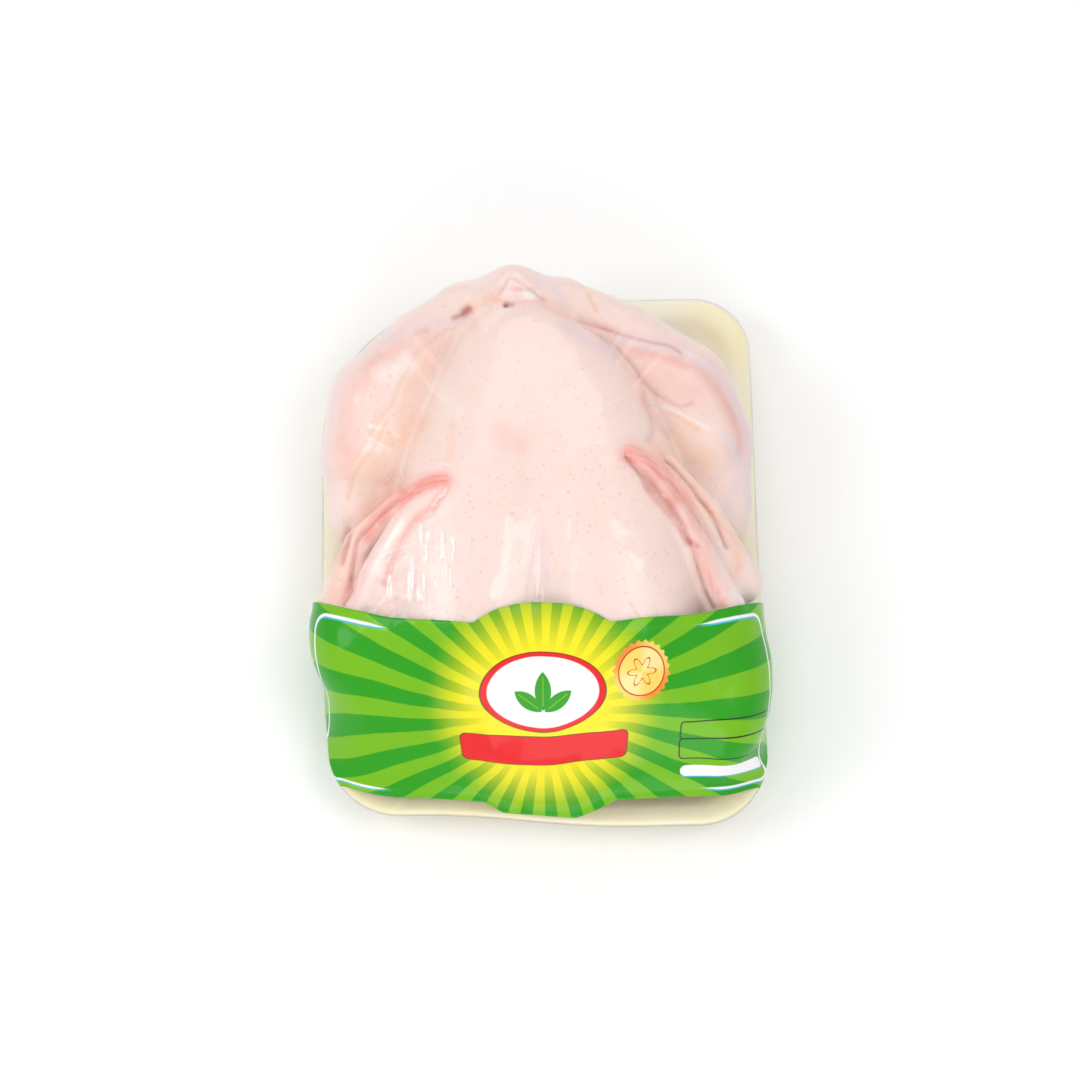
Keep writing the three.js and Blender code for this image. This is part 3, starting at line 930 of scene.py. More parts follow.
    @staticmethod
    def quads(inside: Array, number: Array) -> Array:
        """Joins the four cells round each grid edge that the skin crosses.

        Args:
            inside: Which grid points are inside the bird.
            number: The number of the point in each cell, or -1.

        Returns:
            The quads, with their faces outwards.
        """
        faces = []
        for axis in range(3):
            first, second = [other for other in range(3) if other != axis]
            run = [slice(1, -1)] * 3
            run[axis] = slice(None, -1)
            ahead = list(run)
            ahead[axis] = slice(1, None)
            here, there = inside[tuple(run)], inside[tuple(ahead)]
            edges = np.argwhere(here != there)
            leaves = here[tuple(edges.T)]
            base = edges.copy()
            base[:, first] += 1
            base[:, second] += 1
            ring = []
            for back_first, back_second in ((1, 1), (0, 1), (0, 0), (1, 0)):
                cell = base.copy()
                cell[:, first] -= back_first
                cell[:, second] -= back_second
                ring.append(number[tuple(cell.T)])
            quad = np.column_stack(ring)
            turned = leaves if axis != 1 else ~leaves
            faces.append(np.where(turned[:, None], quad, quad[:, ::-1]))
        return np.vstack(faces)

    def settle(self, points: Array, quads: Array) -> tuple[Array, Array]:
        """Evens out the mesh and moves its points onto the skin.

        Args:
            points: The mesh's points in mm.
            quads: Its quads.

        Returns:
            The points and their outward directions.
        """
        edges = np.vstack([quads[:, [0, 1]], quads[:, [1, 2]], quads[:, [2, 3]], quads[:, [3, 0]]])
        degree = np.bincount(edges[:, 0], minlength=len(points)).astype(float)
        nudge, least_steepness = 0.25, 0.3
        outward = np.zeros_like(points)
        for _ in range(3):
            middle = np.column_stack([
                np.bincount(edges[:, 0], weights=points[edges[:, 1], axis], minlength=len(points))
                for axis in range(3)
            ]) / np.maximum(degree, 1.0)[:, None]
            points = points + 0.5 * (middle - points)
            here = self.distance(points)
            outward = np.column_stack([
                self.distance(points + nudge * np.eye(3)[axis]) - here for axis in range(3)
            ]) / nudge
            steep = np.maximum(np.linalg.norm(outward, axis=1), least_steepness)
            points = points - outward * (here / steep**2)[:, None]
        outward /= np.maximum(np.linalg.norm(outward, axis=1), 1e-6)[:, None]
        return points, outward

    def relief(self, spots: Array, points: Array) -> Array:
        """Works out how far creases, ridges, wrinkles and fibres move the skin outwards.

        Args:
            spots: Where the points are seen on the drawing plane.
            points: The points in mm.

        Returns:
            The moves in mm.
        """
        move = layered_noise(points, self.swells)
        wobble = 1.0 + self.fold_wobble * value_noise(points, 5.0, 24)
        for fold in FOLDS:
            reading = read_line(spots, rounded_line(fold.line))
            move -= fold.depth * wobble * np.exp(-((reading.gap / fold.width) ** 2))
        for gather in GATHERS:
            move += gather.height * gathered(spots, gather)
        fleshy = ((WING_LEFT, 5.0), (WING_RIGHT, 5.5), (WING_RIGHT_FLAP, 3.5), (WING_LEFT_FLAP, 4.0))
        for line, reach in fleshy:
            reading = read_line(spots, rounded_line(line))
            across = reading.gap * reading.side / self.fibre_pitch
            grain = value_noise(np.column_stack([reading.along / self.fibre_run, across]), 1.0, 25)
            move += self.fibre_height * grain * np.exp(-((reading.gap / reach) ** 4))
        return move

    def masks(self, spots: Array, points: Array, shown: Array) -> dict[Tint, Array]:
        """Works out where each tint lies on the skin.

        Args:
            spots: Where the points are seen on the drawing plane.
            points: The points in mm.
            shown: How far each point faces the camera, from 0 to 1.

        Returns:
            For each tint, one number a point.
        """
        uneven = 1.0 + layered_noise(points, self.unevenness)
        found = {tint: np.zeros(len(points)) for tint in Tint}
        for mark in MARKS:
            fade = stroke(spots, mark.line, mark.width, mark.filled)
            found[mark.tint] = np.maximum(found[mark.tint], mark.strength * fade * uneven * shown)
        # the valleys of the gathers are painted in their tint, as painted shade
        for gather in GATHERS:
            if gather.tint is not None:
                stripe = np.clip(-gathered(spots, gather), 0.0, 1.0)
                found[gather.tint] = np.maximum(found[gather.tint], gather.strength * stripe * shown)
        return found

    def build(self, material: Material) -> Piece:
        """Makes the bird's mesh with its tints.

        Args:
            material: The skin's finish.

        Returns:
            The bird.
        """
        points, quads = self.skin()
        points, outward = self.settle(points, quads)
        spots = LOOKOUT.project(points)
        above = np.clip((points[:, 2] - self.relief_foot) / self.relief_rise, 0.0, 1.0)
        shown = np.clip((outward @ LOOKOUT.back) / self.facing, 0.0, 1.0)
        points = points + outward * (self.relief(spots, points) * above * shown)[:, None]
        piece = new_object("bird", points, quads.tolist(), material)
        tints = self.masks(spots, points, shown)
        # the second channel here is the painted shade
        add_masks(piece, "tints_strong", [tints[MEAT], tints[PAINTED_SHADE], tints[LILAC]])
        # the third channel here is pink skin, with painted shade along creases and in folds
        add_masks(piece, "tints_soft", [tints[FAT], tints[PALE], tints[BLUSH_AND_SHADE]])
        store(piece, "fibres", self.fibres(spots))
        self.thin(piece, points)
        return piece

    def fibres(self, spots: Array) -> Array:
        """Reads how the wings' flesh runs.

        Args:
            spots: Where the points are seen on the drawing plane.

        Returns:
            For each point how far it lies along a wing and across it, in mm, and how fleshy it is.
        """
        found = np.zeros((len(spots), 3))
        closest = np.full(len(spots), np.inf)
        for number, line in enumerate((WING_LEFT, WING_LEFT_INNER, WING_RIGHT, WING_RIGHT_FLAP)):
            reading = read_line(spots, rounded_line(line))
            near = reading.gap < closest
            closest = np.minimum(closest, reading.gap)
            fleshy = np.exp(-((reading.gap / self.flesh_reach) ** 4))
            along = reading.along + self.wing_apart * number
            here = np.column_stack([along, reading.gap * reading.side, fleshy])
            found = np.where(near[:, None], here, found)
        return found

    def thin(self, piece: Piece, points: Array) -> None:
        """Thins out the mesh where the tray hides the bird.

        Args:
            piece: The bird.
            points: Its points in mm.
        """
        hidden = np.flatnonzero(points[:, 2] < self.hidden_level)
        group = piece.vertex_groups.new(name="hidden")
        group.add(hidden.tolist(), 1.0, "REPLACE")
        modifier = piece.modifiers.new("thin", "DECIMATE")
        modifier.vertex_group = group.name
        modifier.ratio = 1.0 - (1.0 - self.kept_of_hidden) * len(hidden) / len(points)
        mesh = worked_out(piece)
        piece.modifiers.remove(modifier)
        piece.vertex_groups.clear()
        piece.data = mesh


def gathered(spots: Array, gather: Gathers) -> Array:
    """Works out the wrinkles of one row of gathers.

    Args:
        spots: Points on the drawing plane.
        gather: The gathers.

    Returns:
        A wave between -1 and 1, fading to 0 away from the line.
    """
    reading = read_line(spots, rounded_line(gather.line))
    across = reading.gap * reading.side
    reach = np.where(across > 0, gather.left, gather.right)
    share = np.clip(reading.gap / reach, 0.0, 1.0)
    ends = np.clip(np.minimum(reading.along, reading.length - reading.along) / gather.pitch, 0.0, 1.0)
    jitter = 0.35 * value_noise(spots, 3.0, 26) * gather.pitch
    wave = np.cos(2 * math.pi * (reading.along + jitter) / gather.pitch)
    return wave * (1.0 - share) ** 0.7 * ends


# ---- the film ----
@dataclass(frozen=True)
class PaintedSheen:
    """A painted highlight on the film: white painted where the lights reflect off lifted film, with glints on
    its crinkles.
    """

    line: Line
    width: float
    strength: float
    filled: bool = False
    glint: float = 0.0


# Painted highlights on the film: milky white patches where the lights reflect, and glints on its crinkles.
PAINTED_SHEENS: tuple[PaintedSheen, ...] = (
    PaintedSheen((
        (15.5, 0), (20.5, 7), (23, 2), (29.5, -1), (35.5, -4), (38.5, -10), (44.5, -17.5), (50, -22),
        (49.5, -27), (48.5, -32), (30.5, -34), (23, -31), (13.5, -26), (14, -6),
    ), 0.6, 0.09, True),
    PaintedSheen((
        (-10.5, -1), (-12, -6), (-13, -14), (-14, -20.5), (-17, -27), (-3.5, -26), (-4, -12), (-2.5, -7),
        (-8, -12), (-8, -1),
    ), 0.6, 0.08, True),
    PaintedSheen((
        (-54.5, 13.3), (-42.4, 17.4), (-35.7, 5.2), (-30.2, -0.2), (-32.3, -11), (-30.2, -23.2),
        (-38.4, -28.5), (-51.8, -29.9), (-70.1, -27.2), (-71.4, -20.4), (-66.7, -9.6), (-60, -1.5),
    ), 2.5, 0.07, True),
    PaintedSheen((
        (-51.8, -0.2), (-45.1, 3.9), (-32.9, -0.8), (-33.6, -6.3), (-42.4, -6.9), (-46.5, -4.2),
    ), 1.6, 0.12, True, 0.7),
    PaintedSheen((
        (-67.4, -16.4), (-58.6, -14.4), (-47.8, -15.7), (-42.4, -21.8), (-47.8, -24.5), (-65.3, -21.8),
    ), 1.6, 0.12, True, 0.7),
    PaintedSheen(((-39.7, -11), (-32.9, -12.4), (-32.3, -21.8), (-37, -20.5)), 1.4, 0.12, True, 0.7),
    PaintedSheen(((-55.2, -6.9), (-53.9, -16.4)), 1.2, 0.2, False, 0.6),
    PaintedSheen(((-39.5, 22), (-43.5, 17), (-47.5, 11)), 0.7, 0.35, False, 0.5),
    PaintedSheen(((-51.5, 6.5), (-50, 0), (-47.5, -4), (-49, -8)), 1.4, 0.2, False, 0.8),
    PaintedSheen(((-65, -20.5), (-68, -27), (-71, -33)), 0.8, 0.15, False, 0.6),
    PaintedSheen(((-49, -27), (-47, -34.5)), 0.7, 0.15, False, 0.6),
    PaintedSheen(((-35, -17), (-36, -22), (-35.5, -32), (-35, -35.5)), 0.8, 0.2, False, 0.7),
    PaintedSheen(((-68, -4), (-63, -5)), 0.7, 0.35),
    PaintedSheen(((-67, -8), (-62, -9)), 0.7, 0.35),
)


@dataclass
class ClearFilm:
    """The stretch film: a taut dome over the bird, drawn down over the rim and folded under the tray."""

    tray: FoamTray
    bird: Piece
    sectors: int = 360
    rings: int = 120
    standoff: float = 0.45
    rim_inset: float = 0.4
    rim_gap: float = 0.35
    outside: float = 170.0
    nearest: float = 4.0
    start_cone: float = 0.55
    taut_passes: int = 900
    lip_outset: float = 0.35
    foot_clearance: float = 0.8
    underside: float = 0.06
    skirt_rows: int = 14
    under_rows: int = 10
    pleats: int = 46
    pleat_reach: float = 1.1
    crinkle: float = 0.32
    crinkle_spread: float = 3.0
    fold_count: float = 60.0
    fold_height: float = 0.9
    full_slack: float = 3.0
    first_rise: float = 0.08
    plain_rings: int = 3
    raggedness: float = 0.9

    @property
    def centre(self) -> Array:
        """The point in mm from which the dome's rays start."""
        return np.array([0.0, 0.0, self.tray.height + self.rim_gap])

    def skin_reach(self, rays: Array) -> Array:
        """Finds how far the bird reaches along rays from the film's centre.

        Args:
            rays: Directions, one a row.

        Returns:
            The reach with the film's standoff, in mm.
        """
        tree = skin_tree(self.bird)
        centre = self.centre
        reach = np.full(len(rays), self.nearest)
        for index, ray in enumerate(rays):
            start = Vector(centre + ray * self.outside)
            _, _, _, distance = tree.ray_cast(start, Vector(-ray), self.outside)
            if distance is not None:
                reach[index] = self.outside - distance + self.standoff
        return reach

    def folds(self, rays: Array, slack: Array) -> Array:
        """Works out the tension folds where the film spans free between the rim and the bird.

        Args:
            rays: The directions of the film's points from its centre, by ring and sector.
            slack: How far the film is off the bird there, in mm.

        Returns:
            The moves outwards in mm.
        """
        steep = np.arcsin(np.clip(rays[..., 2], 0.0, 1.0))
        flat = rays[..., :2] / np.maximum(np.hypot(rays[..., 0], rays[..., 1]), 1e-6)[..., None]
        wound = flat * self.fold_count / (2 * math.pi)
        place = np.concatenate([wound, steep[..., None]], axis=-1).reshape(-1, 3)
        ridge = np.zeros(len(place))
        for size, seed, share in ((1.0, 45, 1.0), (0.5, 46, 0.5)):
            ridge += share * (1.0 - np.abs(value_noise(place, size, seed))) ** 5
        free = np.clip(slack / self.full_slack, 0.0, 1.0) * np.clip(steep / self.first_rise, 0.0, 1.0)
        return self.fold_height * ridge.reshape(slack.shape) * free

    def dome(self) -> Array:
        """Draws the film taut between the rim and the bird.

        Returns:
            Its points in mm, by ring and sector, from the rim to the top.
        """
        rise = np.arange(self.rings + 1) / self.rings * (math.pi / 2)
        around = np.arange(self.sectors) / self.sectors * 2 * math.pi
        rise_grid, around_grid = np.meshgrid(rise, around, indexing="ij")
        level, upright = np.cos(rise_grid), np.sin(rise_grid)
        rays = np.stack([level * np.cos(around_grid), level * np.sin(around_grid), upright], axis=-1)
        least = self.skin_reach(rays.reshape(-1, 3)).reshape(rise_grid.shape)
        least[0] = self.tray.outline.reach(around, self.rim_inset)
        reach = np.maximum(least, least[0] * (1 - self.start_cone * rays[..., 2]))
        stretch = np.cos(rise[1:-1]) * 4 * self.rings / self.sectors
        weight = (1 / np.maximum(stretch**2, 0.05))[:, None, None]
        for _ in range(self.taut_passes):
            points = rays * reach[..., None]
            middle = points[1:-1]
            beside = np.roll(middle, 1, axis=1) + np.roll(middle, -1, axis=1)
            mean = (points[:-2] + points[2:] + beside * weight) / (2 + 2 * weight)
            pulled = np.sum(mean * rays[1:-1], axis=-1)
            reach[1:-1] = np.maximum(least[1:-1], pulled)
            reach[-1] = max(least[-1].max(), reach[-2].mean())
        reach[:-1] += self.folds(rays, reach - least)[:-1]
        return self.centre + rays * reach[..., None]

    def wrinkled(self, points: Array, spots: Array) -> Array:
        """Works out the crinkles of the film, which only stand out from it.

        Args:
            points: Its points in mm.
            spots: Where they are seen on the drawing plane.

        Returns:
            The moves outwards in mm.
        """
        crumple = np.zeros(len(points))
        for painted_sheen in PAINTED_SHEENS:
            if painted_sheen.glint == 0.0:
                continue
            reading = read_line(spots, rounded_line(painted_sheen.line))
            reach = painted_sheen.width + self.crinkle_spread
            crumple = np.maximum(crumple, np.exp(-((reading.gap / reach) ** 2)))
        sharp = 1.0 - np.abs(value_noise(points, 3.6, 41))
        finer = 1.0 - np.abs(value_noise(points, 1.9, 42))
        return self.crinkle * crumple * (sharp**3 + 0.6 * finer**3)

    def painted_sheen(self, spots: Array, points: Array) -> list[Array]:
        """Works out where white highlights are painted on the film: a milky sheen, and glints on its
        crinkles.

        Args:
            spots: Where its points are seen on the drawing plane.
            points: Its points in mm.

        Returns:
            Two numbers a point.
        """
        above = points[:, 2] > self.tray.height - 0.1
        milky_sheen, glints = np.zeros(len(points)), np.zeros(len(points))
        ragged = np.column_stack([value_noise(points, 2.4, seed) for seed in (43, 44)])
        moved = spots + ragged * self.raggedness
        for painted_sheen in PAINTED_SHEENS:
            fade = stroke(moved, painted_sheen.line, painted_sheen.width, painted_sheen.filled, 2 if painted_sheen.filled else 5)
            milky_sheen = np.maximum(milky_sheen, painted_sheen.strength * fade * above)
            glints = np.maximum(glints, painted_sheen.glint * fade * above)
        return [milky_sheen, glints]

    def skirt(self) -> list[Array]:
        """Lays the film over the lip, down to the tray's foot and in under it.

        Returns:
            Rings of points in mm, from just below the rim to the middle of the underside.
        """
        tray = self.tray
        angles = np.arange(self.sectors) / self.sectors * 2 * math.pi
        foot = tray.foot_inset - self.foot_clearance
        levels = [(-self.lip_outset, tray.height - 0.5), (-self.lip_outset, tray.height - tray.lip_depth)]
        for row in range(1, self.skirt_rows + 1):
            share = row / self.skirt_rows
            inset = -self.lip_outset + share * (foot + self.lip_outset)
            levels.append((inset, (1 - share) * (tray.height - tray.lip_depth) + share * self.underside))
        corner = np.abs(np.sin(2 * angles)) ** 2
        pull = 0.5 + 0.5 * np.sin(angles * self.pleats + 2.0 * np.sin(angles * 7))
        rings = []
        for row, (inset, level) in enumerate(levels):
            share = max(row - 1, 0) / self.skirt_rows
            reach = tray.outline.reach(angles, inset)
            swell = math.sin(math.pi * min(share, 1.0)) * share
            rings.append(flat_ring(angles, reach + self.pleat_reach * pull * corner * swell, level))
        last = rings[-1]
        for row in range(1, self.under_rows):
            rings.append(last * np.array([1 - row / self.under_rows, 1 - row / self.under_rows, 1.0]))
        return rings

    def build(self, material: Material) -> Piece:
        """Makes the film's mesh.

        Args:
            material: The film's finish.

        Returns:
            The film.
        """
        dome = self.dome()
        flat = dome.reshape(-1, 3)
        spots = LOOKOUT.project(flat)
        outward = flat - self.centre
        outward /= np.linalg.norm(outward, axis=1)[:, None]
        inner = (np.arange(self.rings + 1) >= self.plain_rings).astype(float).repeat(self.sectors)
        dome = (flat + outward * (self.wrinkled(flat, spots) * inner)[:, None]).reshape(dome.shape)
        rings = [*self.skirt()[::-1], *dome[:-1]]
        points = np.vstack([*rings, [[0.0, 0.0, self.underside]], dome[-1].mean(axis=0)[None]])
        piece = new_object("clear_film", points, tube_faces(len(rings), self.sectors), material)
        add_masks(piece, "painted_sheen", self.painted_sheen(LOOKOUT.project(points), points))
        return piece


# ---- the printed band ----
@dataclass
class PrintedBand:
    """The printed band across the neck end: a thin sheet wrapped over the film and down past the rim."""

    tray: FoamTray
    film: Piece
    far_edge: Line = ((-1, -23.5), (-0.84, -25), (-0.52, -39), (-0.22, -45.5), (0.22, -46), (0.52, -40.5),
                      (0.84, -28.5), (1, -27))
    near_edge: Line = ((-1, -98), (-0.9, -103.5), (-0.8, -106), (-0.37, -109), (0.37, -110), (0.82, -109),
                       (1, -102.5))
    far_bulge: Pair = (0.22, 9.0)
    near_bulge: Pair = (0.37, 7.2)
    rim_margin: float = 0.5
    axis_height: float = -60.0
    fold_end: float = 5.0
    lip_clearance: float = 0.4
    under_slope: float = 1.3
    gap: float = 0.4
    thickness: float = 0.16
    columns: int = 130
    rows: int = 70
    drop_rows: int = 10
    taut_passes: int = 60
    softening: float = 0.05
    outside: float = 260.0
    print_edges: Pair = (-3.98, 3.77)

    def edge(self, line: Line, s: Array) -> Array:
        """Reads one edge of the band, slightly rounded at its points.

        Args:
            line: The edge as (s, y) pairs.
            s: Where across the band, -1 at the left rim and 1 at the right.

        Returns:
            The y of the edge in mm.
        """
        at, level = np.array(line).T
        steps = np.linspace(-self.softening, self.softening, 9)
        return np.mean([np.interp(np.clip(s + step, -1, 1), at, level) for step in steps], axis=0)

    @staticmethod
    def bulge(s: Array, bulge: Pair) -> Array:
        """Works out how far the round middle stands out past an edge, in mm."""
        half, height = bulge
        return height * (1.0 - np.minimum(np.abs(s) / half, 1.0) ** 2.4)

    def rim_y(self, s: Array, near: Array) -> Array:
        """Finds the y just inside the rim's near side.

        Args:
            s: Where across the band.
            near: The y of the near edge there, without its round middle.

        Returns:
            The y in mm.
        """
        outline = self.tray.outline
        side = self.rim_angle(np.where(s < 0, -1.0, 1.0), near)
        upright = self.tray.height - self.axis_height
        x = np.tan(np.abs(s) * np.arctan2(outline.reach(side, 0.0) * np.cos(side), upright)) * upright
        angle = np.linspace(-0.8 * math.pi, -0.2 * math.pi, 240)
        rim = outline.reach(angle, self.rim_margin)
        return np.interp(x, rim * np.cos(angle), rim * np.sin(angle))

    def rim_angle(self, side: Array, y: Array) -> Array:
        """Finds the direction in which the rim reaches a given y, on one side.

        Args:
            side: -1 for the left side and 1 for the right.
            y: The y to reach, in mm, below zero.

        Returns:
            The directions.
        """
        low, high = np.zeros_like(y), np.full_like(y, math.pi / 2)
        for _ in range(40):
            middle = (low + high) / 2
            angle = np.where(side > 0, -middle, middle - math.pi)
            beyond = self.tray.outline.reach(angle, 0.0) * np.sin(angle) > y
            low, high = np.where(beyond, middle, low), np.where(beyond, high, middle)
        return np.where(side > 0, -low, low - math.pi)

    def build(self, material: Material) -> Piece:
        """Makes the band's mesh, with its print laid out in centimetres from its middle.

        Args:
            material: The print's finish.

        Returns:
            The band.
        """
        tray = self.tray
        over = np.linspace(-1, 1, 2 * self.columns + 1)
        full = tray.height - self.fold_end
        below = tray.lip_depth + self.lip_clearance
        drops = np.concatenate([[below * 0.5], np.linspace(below, full, self.drop_rows)])
        s = np.concatenate([np.full(len(drops), -1.0), over, np.full(len(drops), 1.0)])
        drop = np.concatenate([drops[::-1], np.zeros(len(over)), drops])
        t = np.linspace(0, 1, self.rows + 1)
        straight = np.stack([self.edge(self.near_edge, s), self.edge(self.far_edge, s)])
        far = straight[1] + self.bulge(s, self.far_bulge)
        near = np.maximum(straight[0] - self.bulge(s, self.near_bulge), self.rim_y(s, straight[0]))
        y = near[:, None] + (far - near)[:, None] * t
        s_grid, drop_grid = [np.broadcast_to(values[:, None], y.shape) for values in (s, drop)]
        side = np.where(s_grid < 0, -1.0, 1.0)
        angle = self.rim_angle(side, y)
        inset = np.maximum(drop_grid - below, 0.0) * self.under_slope
        rim = tray.outline.reach(angle, inset)
        outside = np.stack([rim * np.cos(angle), rim * np.sin(angle), tray.height - drop_grid], axis=-1)
        end_angle = self.rim_angle(side, np.maximum(y, straight[0][:, None]))
        rim_x = tray.outline.reach(end_angle, 0.0) * np.cos(end_angle)
        lean = np.abs(s_grid) * np.arctan2(rim_x, tray.height - self.axis_height)
        ray = np.stack([np.sin(lean), np.zeros_like(lean), np.cos(lean)], axis=-1)
        origin = np.stack([np.zeros_like(y), y, np.full_like(y, self.axis_height)], axis=-1)
        reach = self.film_reach(origin, ray)
        loose = (np.abs(s_grid) < 1) & (reach > 0)
        rigid = np.linalg.norm(outside - origin, axis=-1)
        ray = np.where(loose[..., None], ray, (outside - origin) / rigid[..., None])
        points = self.taut(origin, ray, np.where(loose, reach, rigid), loose)
        return self.sheet(points, self.layout(points, straight), material)

    def taut(self, origin: Array, ray: Array, reach: Array, loose: Array) -> Array:
        """Draws the band taut over the hollows of what it lies on.

        Args:
            origin: Where the rays to its points start, in mm.
            ray: Their directions.
            reach: How far out its points lie at least, in mm.
            loose: Which of them may move outwards.

        Returns:
            Its points in mm.
        """
        least = reach.copy()
        for _ in range(self.taut_passes):
            points = origin + ray * reach[..., None]
            padded = np.concatenate([points[:, :1], points, points[:, -1:]], axis=1)
            mean = (points[:-2] + points[2:] + padded[1:-1, :-2] + padded[1:-1, 2:]) / 4
            pulled = np.sum((mean - origin[1:-1]) * ray[1:-1], axis=-1)
            reach[1:-1] = np.where(loose[1:-1], np.maximum(least[1:-1], pulled), reach[1:-1])
        return origin + ray * reach[..., None]

    def film_reach(self, origin: Array, ray: Array) -> Array:
        """Casts rays from the band's axis out to the film.

        Args:
            origin: Where the rays start, in mm.
            ray: Their directions.

        Returns:
            The distances to the film's outermost face, in mm.
        """
        tree = skin_tree(self.film)
        reach = np.zeros(ray.shape[:2])
        for index in np.ndindex(*reach.shape):
            start = Vector(origin[index] + ray[index] * self.outside)
            _, _, _, distance = tree.ray_cast(start, Vector(-ray[index]), self.outside)
            reach[index] = 0.0 if distance is None else self.outside - distance
        return reach

    def sheet(self, points: Array, layout: Array, material: Material) -> Piece:
        """Gives the band its thickness and its layout.

        Args:
            points: Where it lies on the film, by column and row, in mm.
            layout: The print's coordinates for the points.
            material: The print's finish.

        Returns:
            The band.
        """
        along = np.gradient(points, axis=0)
        across = np.gradient(points, axis=1)
        outward = np.cross(along, across)
        outward /= np.maximum(np.linalg.norm(outward, axis=-1), 1e-9)[..., None]
        columns, rows = points.shape[:2]
        inner = (points + outward * self.gap).reshape(-1, 3)
        outer = (points + outward * (self.gap + self.thickness)).reshape(-1, 3)
        count = columns * rows
        quads = grid_faces(columns, rows, False)
        rim = self.border(columns, rows)
        sides = [[a, b, b + count, a + count] for a, b in zip(rim, rim[1:] + rim[:1])]
        faces = quads.tolist() + (quads + count)[:, ::-1].tolist() + sides
        piece = new_object("printed_band", np.vstack([inner, outer]), faces, material)
        spread = np.vstack([layout, layout])
        uv = piece.data.uv_layers.new(name="print")
        corners = np.empty(len(piece.data.loops), int)
        piece.data.loops.foreach_get("vertex_index", corners)
        uv.data.foreach_set("uv", spread[corners].ravel())
        return piece

    @staticmethod
    def border(columns: int, rows: int) -> list[int]:
        """Lists a grid's outermost points, going round it with its outside to the right.

        Args:
            columns: The number of columns of points.
            rows: The number of rows of points.

        Returns:
            The points' numbers.
        """
        start = list(range(rows))
        top = [column * rows + rows - 1 for column in range(1, columns)]
        end = [(columns - 1) * rows + row for row in range(rows - 2, -1, -1)]
        return (start + top + end + [column * rows for column in range(columns - 2, 0, -1)])[::-1]

    def layout(self, points: Array, straight: Array) -> Array:
        """Measures the band's surface in centimetres, along its length and between its straight edges.

        Args:
            points: Its points by column and row, in mm.
            straight: The y of the near and the far edge without their round middles, by column.

        Returns:
            Two coordinates for each point, across and along the pack.
        """
        centre_column, rows = points.shape[0] // 2, points.shape[1]
        steps = np.linalg.norm(np.diff(points[..., ::2], axis=0), axis=-1)
        across = np.concatenate([np.zeros((1, rows)), np.cumsum(steps, axis=0)])
        across = (across - across[centre_column]) / 10
        rise = np.linalg.norm(np.diff(points, axis=1), axis=-1)
        high = np.concatenate([np.zeros((len(points), 1)), np.cumsum(rise, axis=1)], axis=1)
        along = np.empty_like(high)
        for column, (y, run) in enumerate(zip(points[..., 1], high)):
            near, far = np.interp(straight[:, column], y, run)
            along[column] = np.interp(run, (near, far), self.print_edges)
            along[column] += np.minimum(run - near, 0.0) / 10 + np.maximum(run - far, 0.0) / 10
        return np.stack([across, along], axis=-1).reshape(-1, 2)


# ---- finishes ----
class Signal:
    """An output of a node, on which sums are written with the usual signs."""

    def __init__(self, bench: "NodeBench", socket: bpy.types.NodeSocket) -> None:
        """Keeps the output and the bench that adds the nodes for the sums."""
        self.bench, self.socket = bench, socket

    def __add__(self, other: "Signal | float") -> "Signal":
        """Adds a value to it."""
        return self.bench.math("ADD", self, other)

    def __sub__(self, other: "Signal | float") -> "Signal":
        """Takes a value from it."""
        return self.bench.math("SUBTRACT", self, other)

    def __rsub__(self, other: float) -> "Signal":
        """Takes it from a number."""
        return self.bench.math("SUBTRACT", other, self)

    def __mul__(self, other: "Signal | float") -> "Signal":
        """Multiplies it by a value."""
        return self.bench.math("MULTIPLY", self, other)

    def __abs__(self) -> "Signal":
        """Drops its sign."""
        return self.bench.math("ABSOLUTE", self)


class NodeBench:
    """Adds nodes to one node tree and joins them."""

    def __init__(self, tree: bpy.types.NodeTree) -> None:
        """Takes the tree to work on."""
        self.tree = tree

    def add(self, kind: str, inputs: dict | None = None, **settings: object) -> bpy.types.Node:
        """Adds a node.

        Args:
            kind: The node's type.
            inputs: For some of its inputs, by name or number, a value or the output to join.
            settings: The node's own settings.

        Returns:
            The node.
        """
        node = self.tree.nodes.new(kind)
        for name, value in settings.items():
            setattr(node, name, value)
        for name, value in (inputs or {}).items():
            self.feed(node.inputs[name], value)
        return node

    def take(
        self, kind: str, inputs: dict | None = None, output: str | int = 0, **settings: object
    ) -> Signal:
        """Adds a node and returns one of its outputs."""
        return Signal(self, self.add(kind, inputs, **settings).outputs[output])

    def feed(self, socket: bpy.types.NodeSocket, value: object) -> None:
        """Sets an input, or joins an output to it."""
        if isinstance(value, Signal):
            value = value.socket
        if isinstance(value, bpy.types.NodeSocket):
            self.tree.links.new(value, socket)
        elif socket.type == "RGBA":
            socket.default_value = (*value, 1.0)
        else:
            socket.default_value = value

    def math(self, operation: str, *values: object, clamp: bool = False) -> Signal:
        """Adds a sum and returns its result."""
        return self.take("ShaderNodeMath", dict(enumerate(values)), operation=operation, use_clamp=clamp)

    def vector(self, operation: str, *values: object) -> Signal:
        """Adds a sum on vectors and returns its result."""
        return self.take("ShaderNodeVectorMath", dict(enumerate(values)), operation=operation)

    def split(self, value: Signal, kind: str = "XYZ") -> list[Signal]:
        """Takes a vector or a colour apart into its three numbers."""
        node = self.add("ShaderNodeSeparate" + kind, {0: value})
        return [Signal(self, socket) for socket in node.outputs]

    def mix(self, share: object, first: object, second: object) -> Signal:
        """Mixes two colours and returns the result."""
        return self.take("ShaderNodeMix", {0: share, 6: first, 7: second}, 2, data_type="RGBA")

    def ramp(self, value: object, start: object, stop: object) -> Signal:
        """Turns a value from start to stop into 0 to 1, smoothly and clamped."""
        return self.take("ShaderNodeMapRange", {0: value, 1: start, 2: stop}, interpolation_type="SMOOTHSTEP")


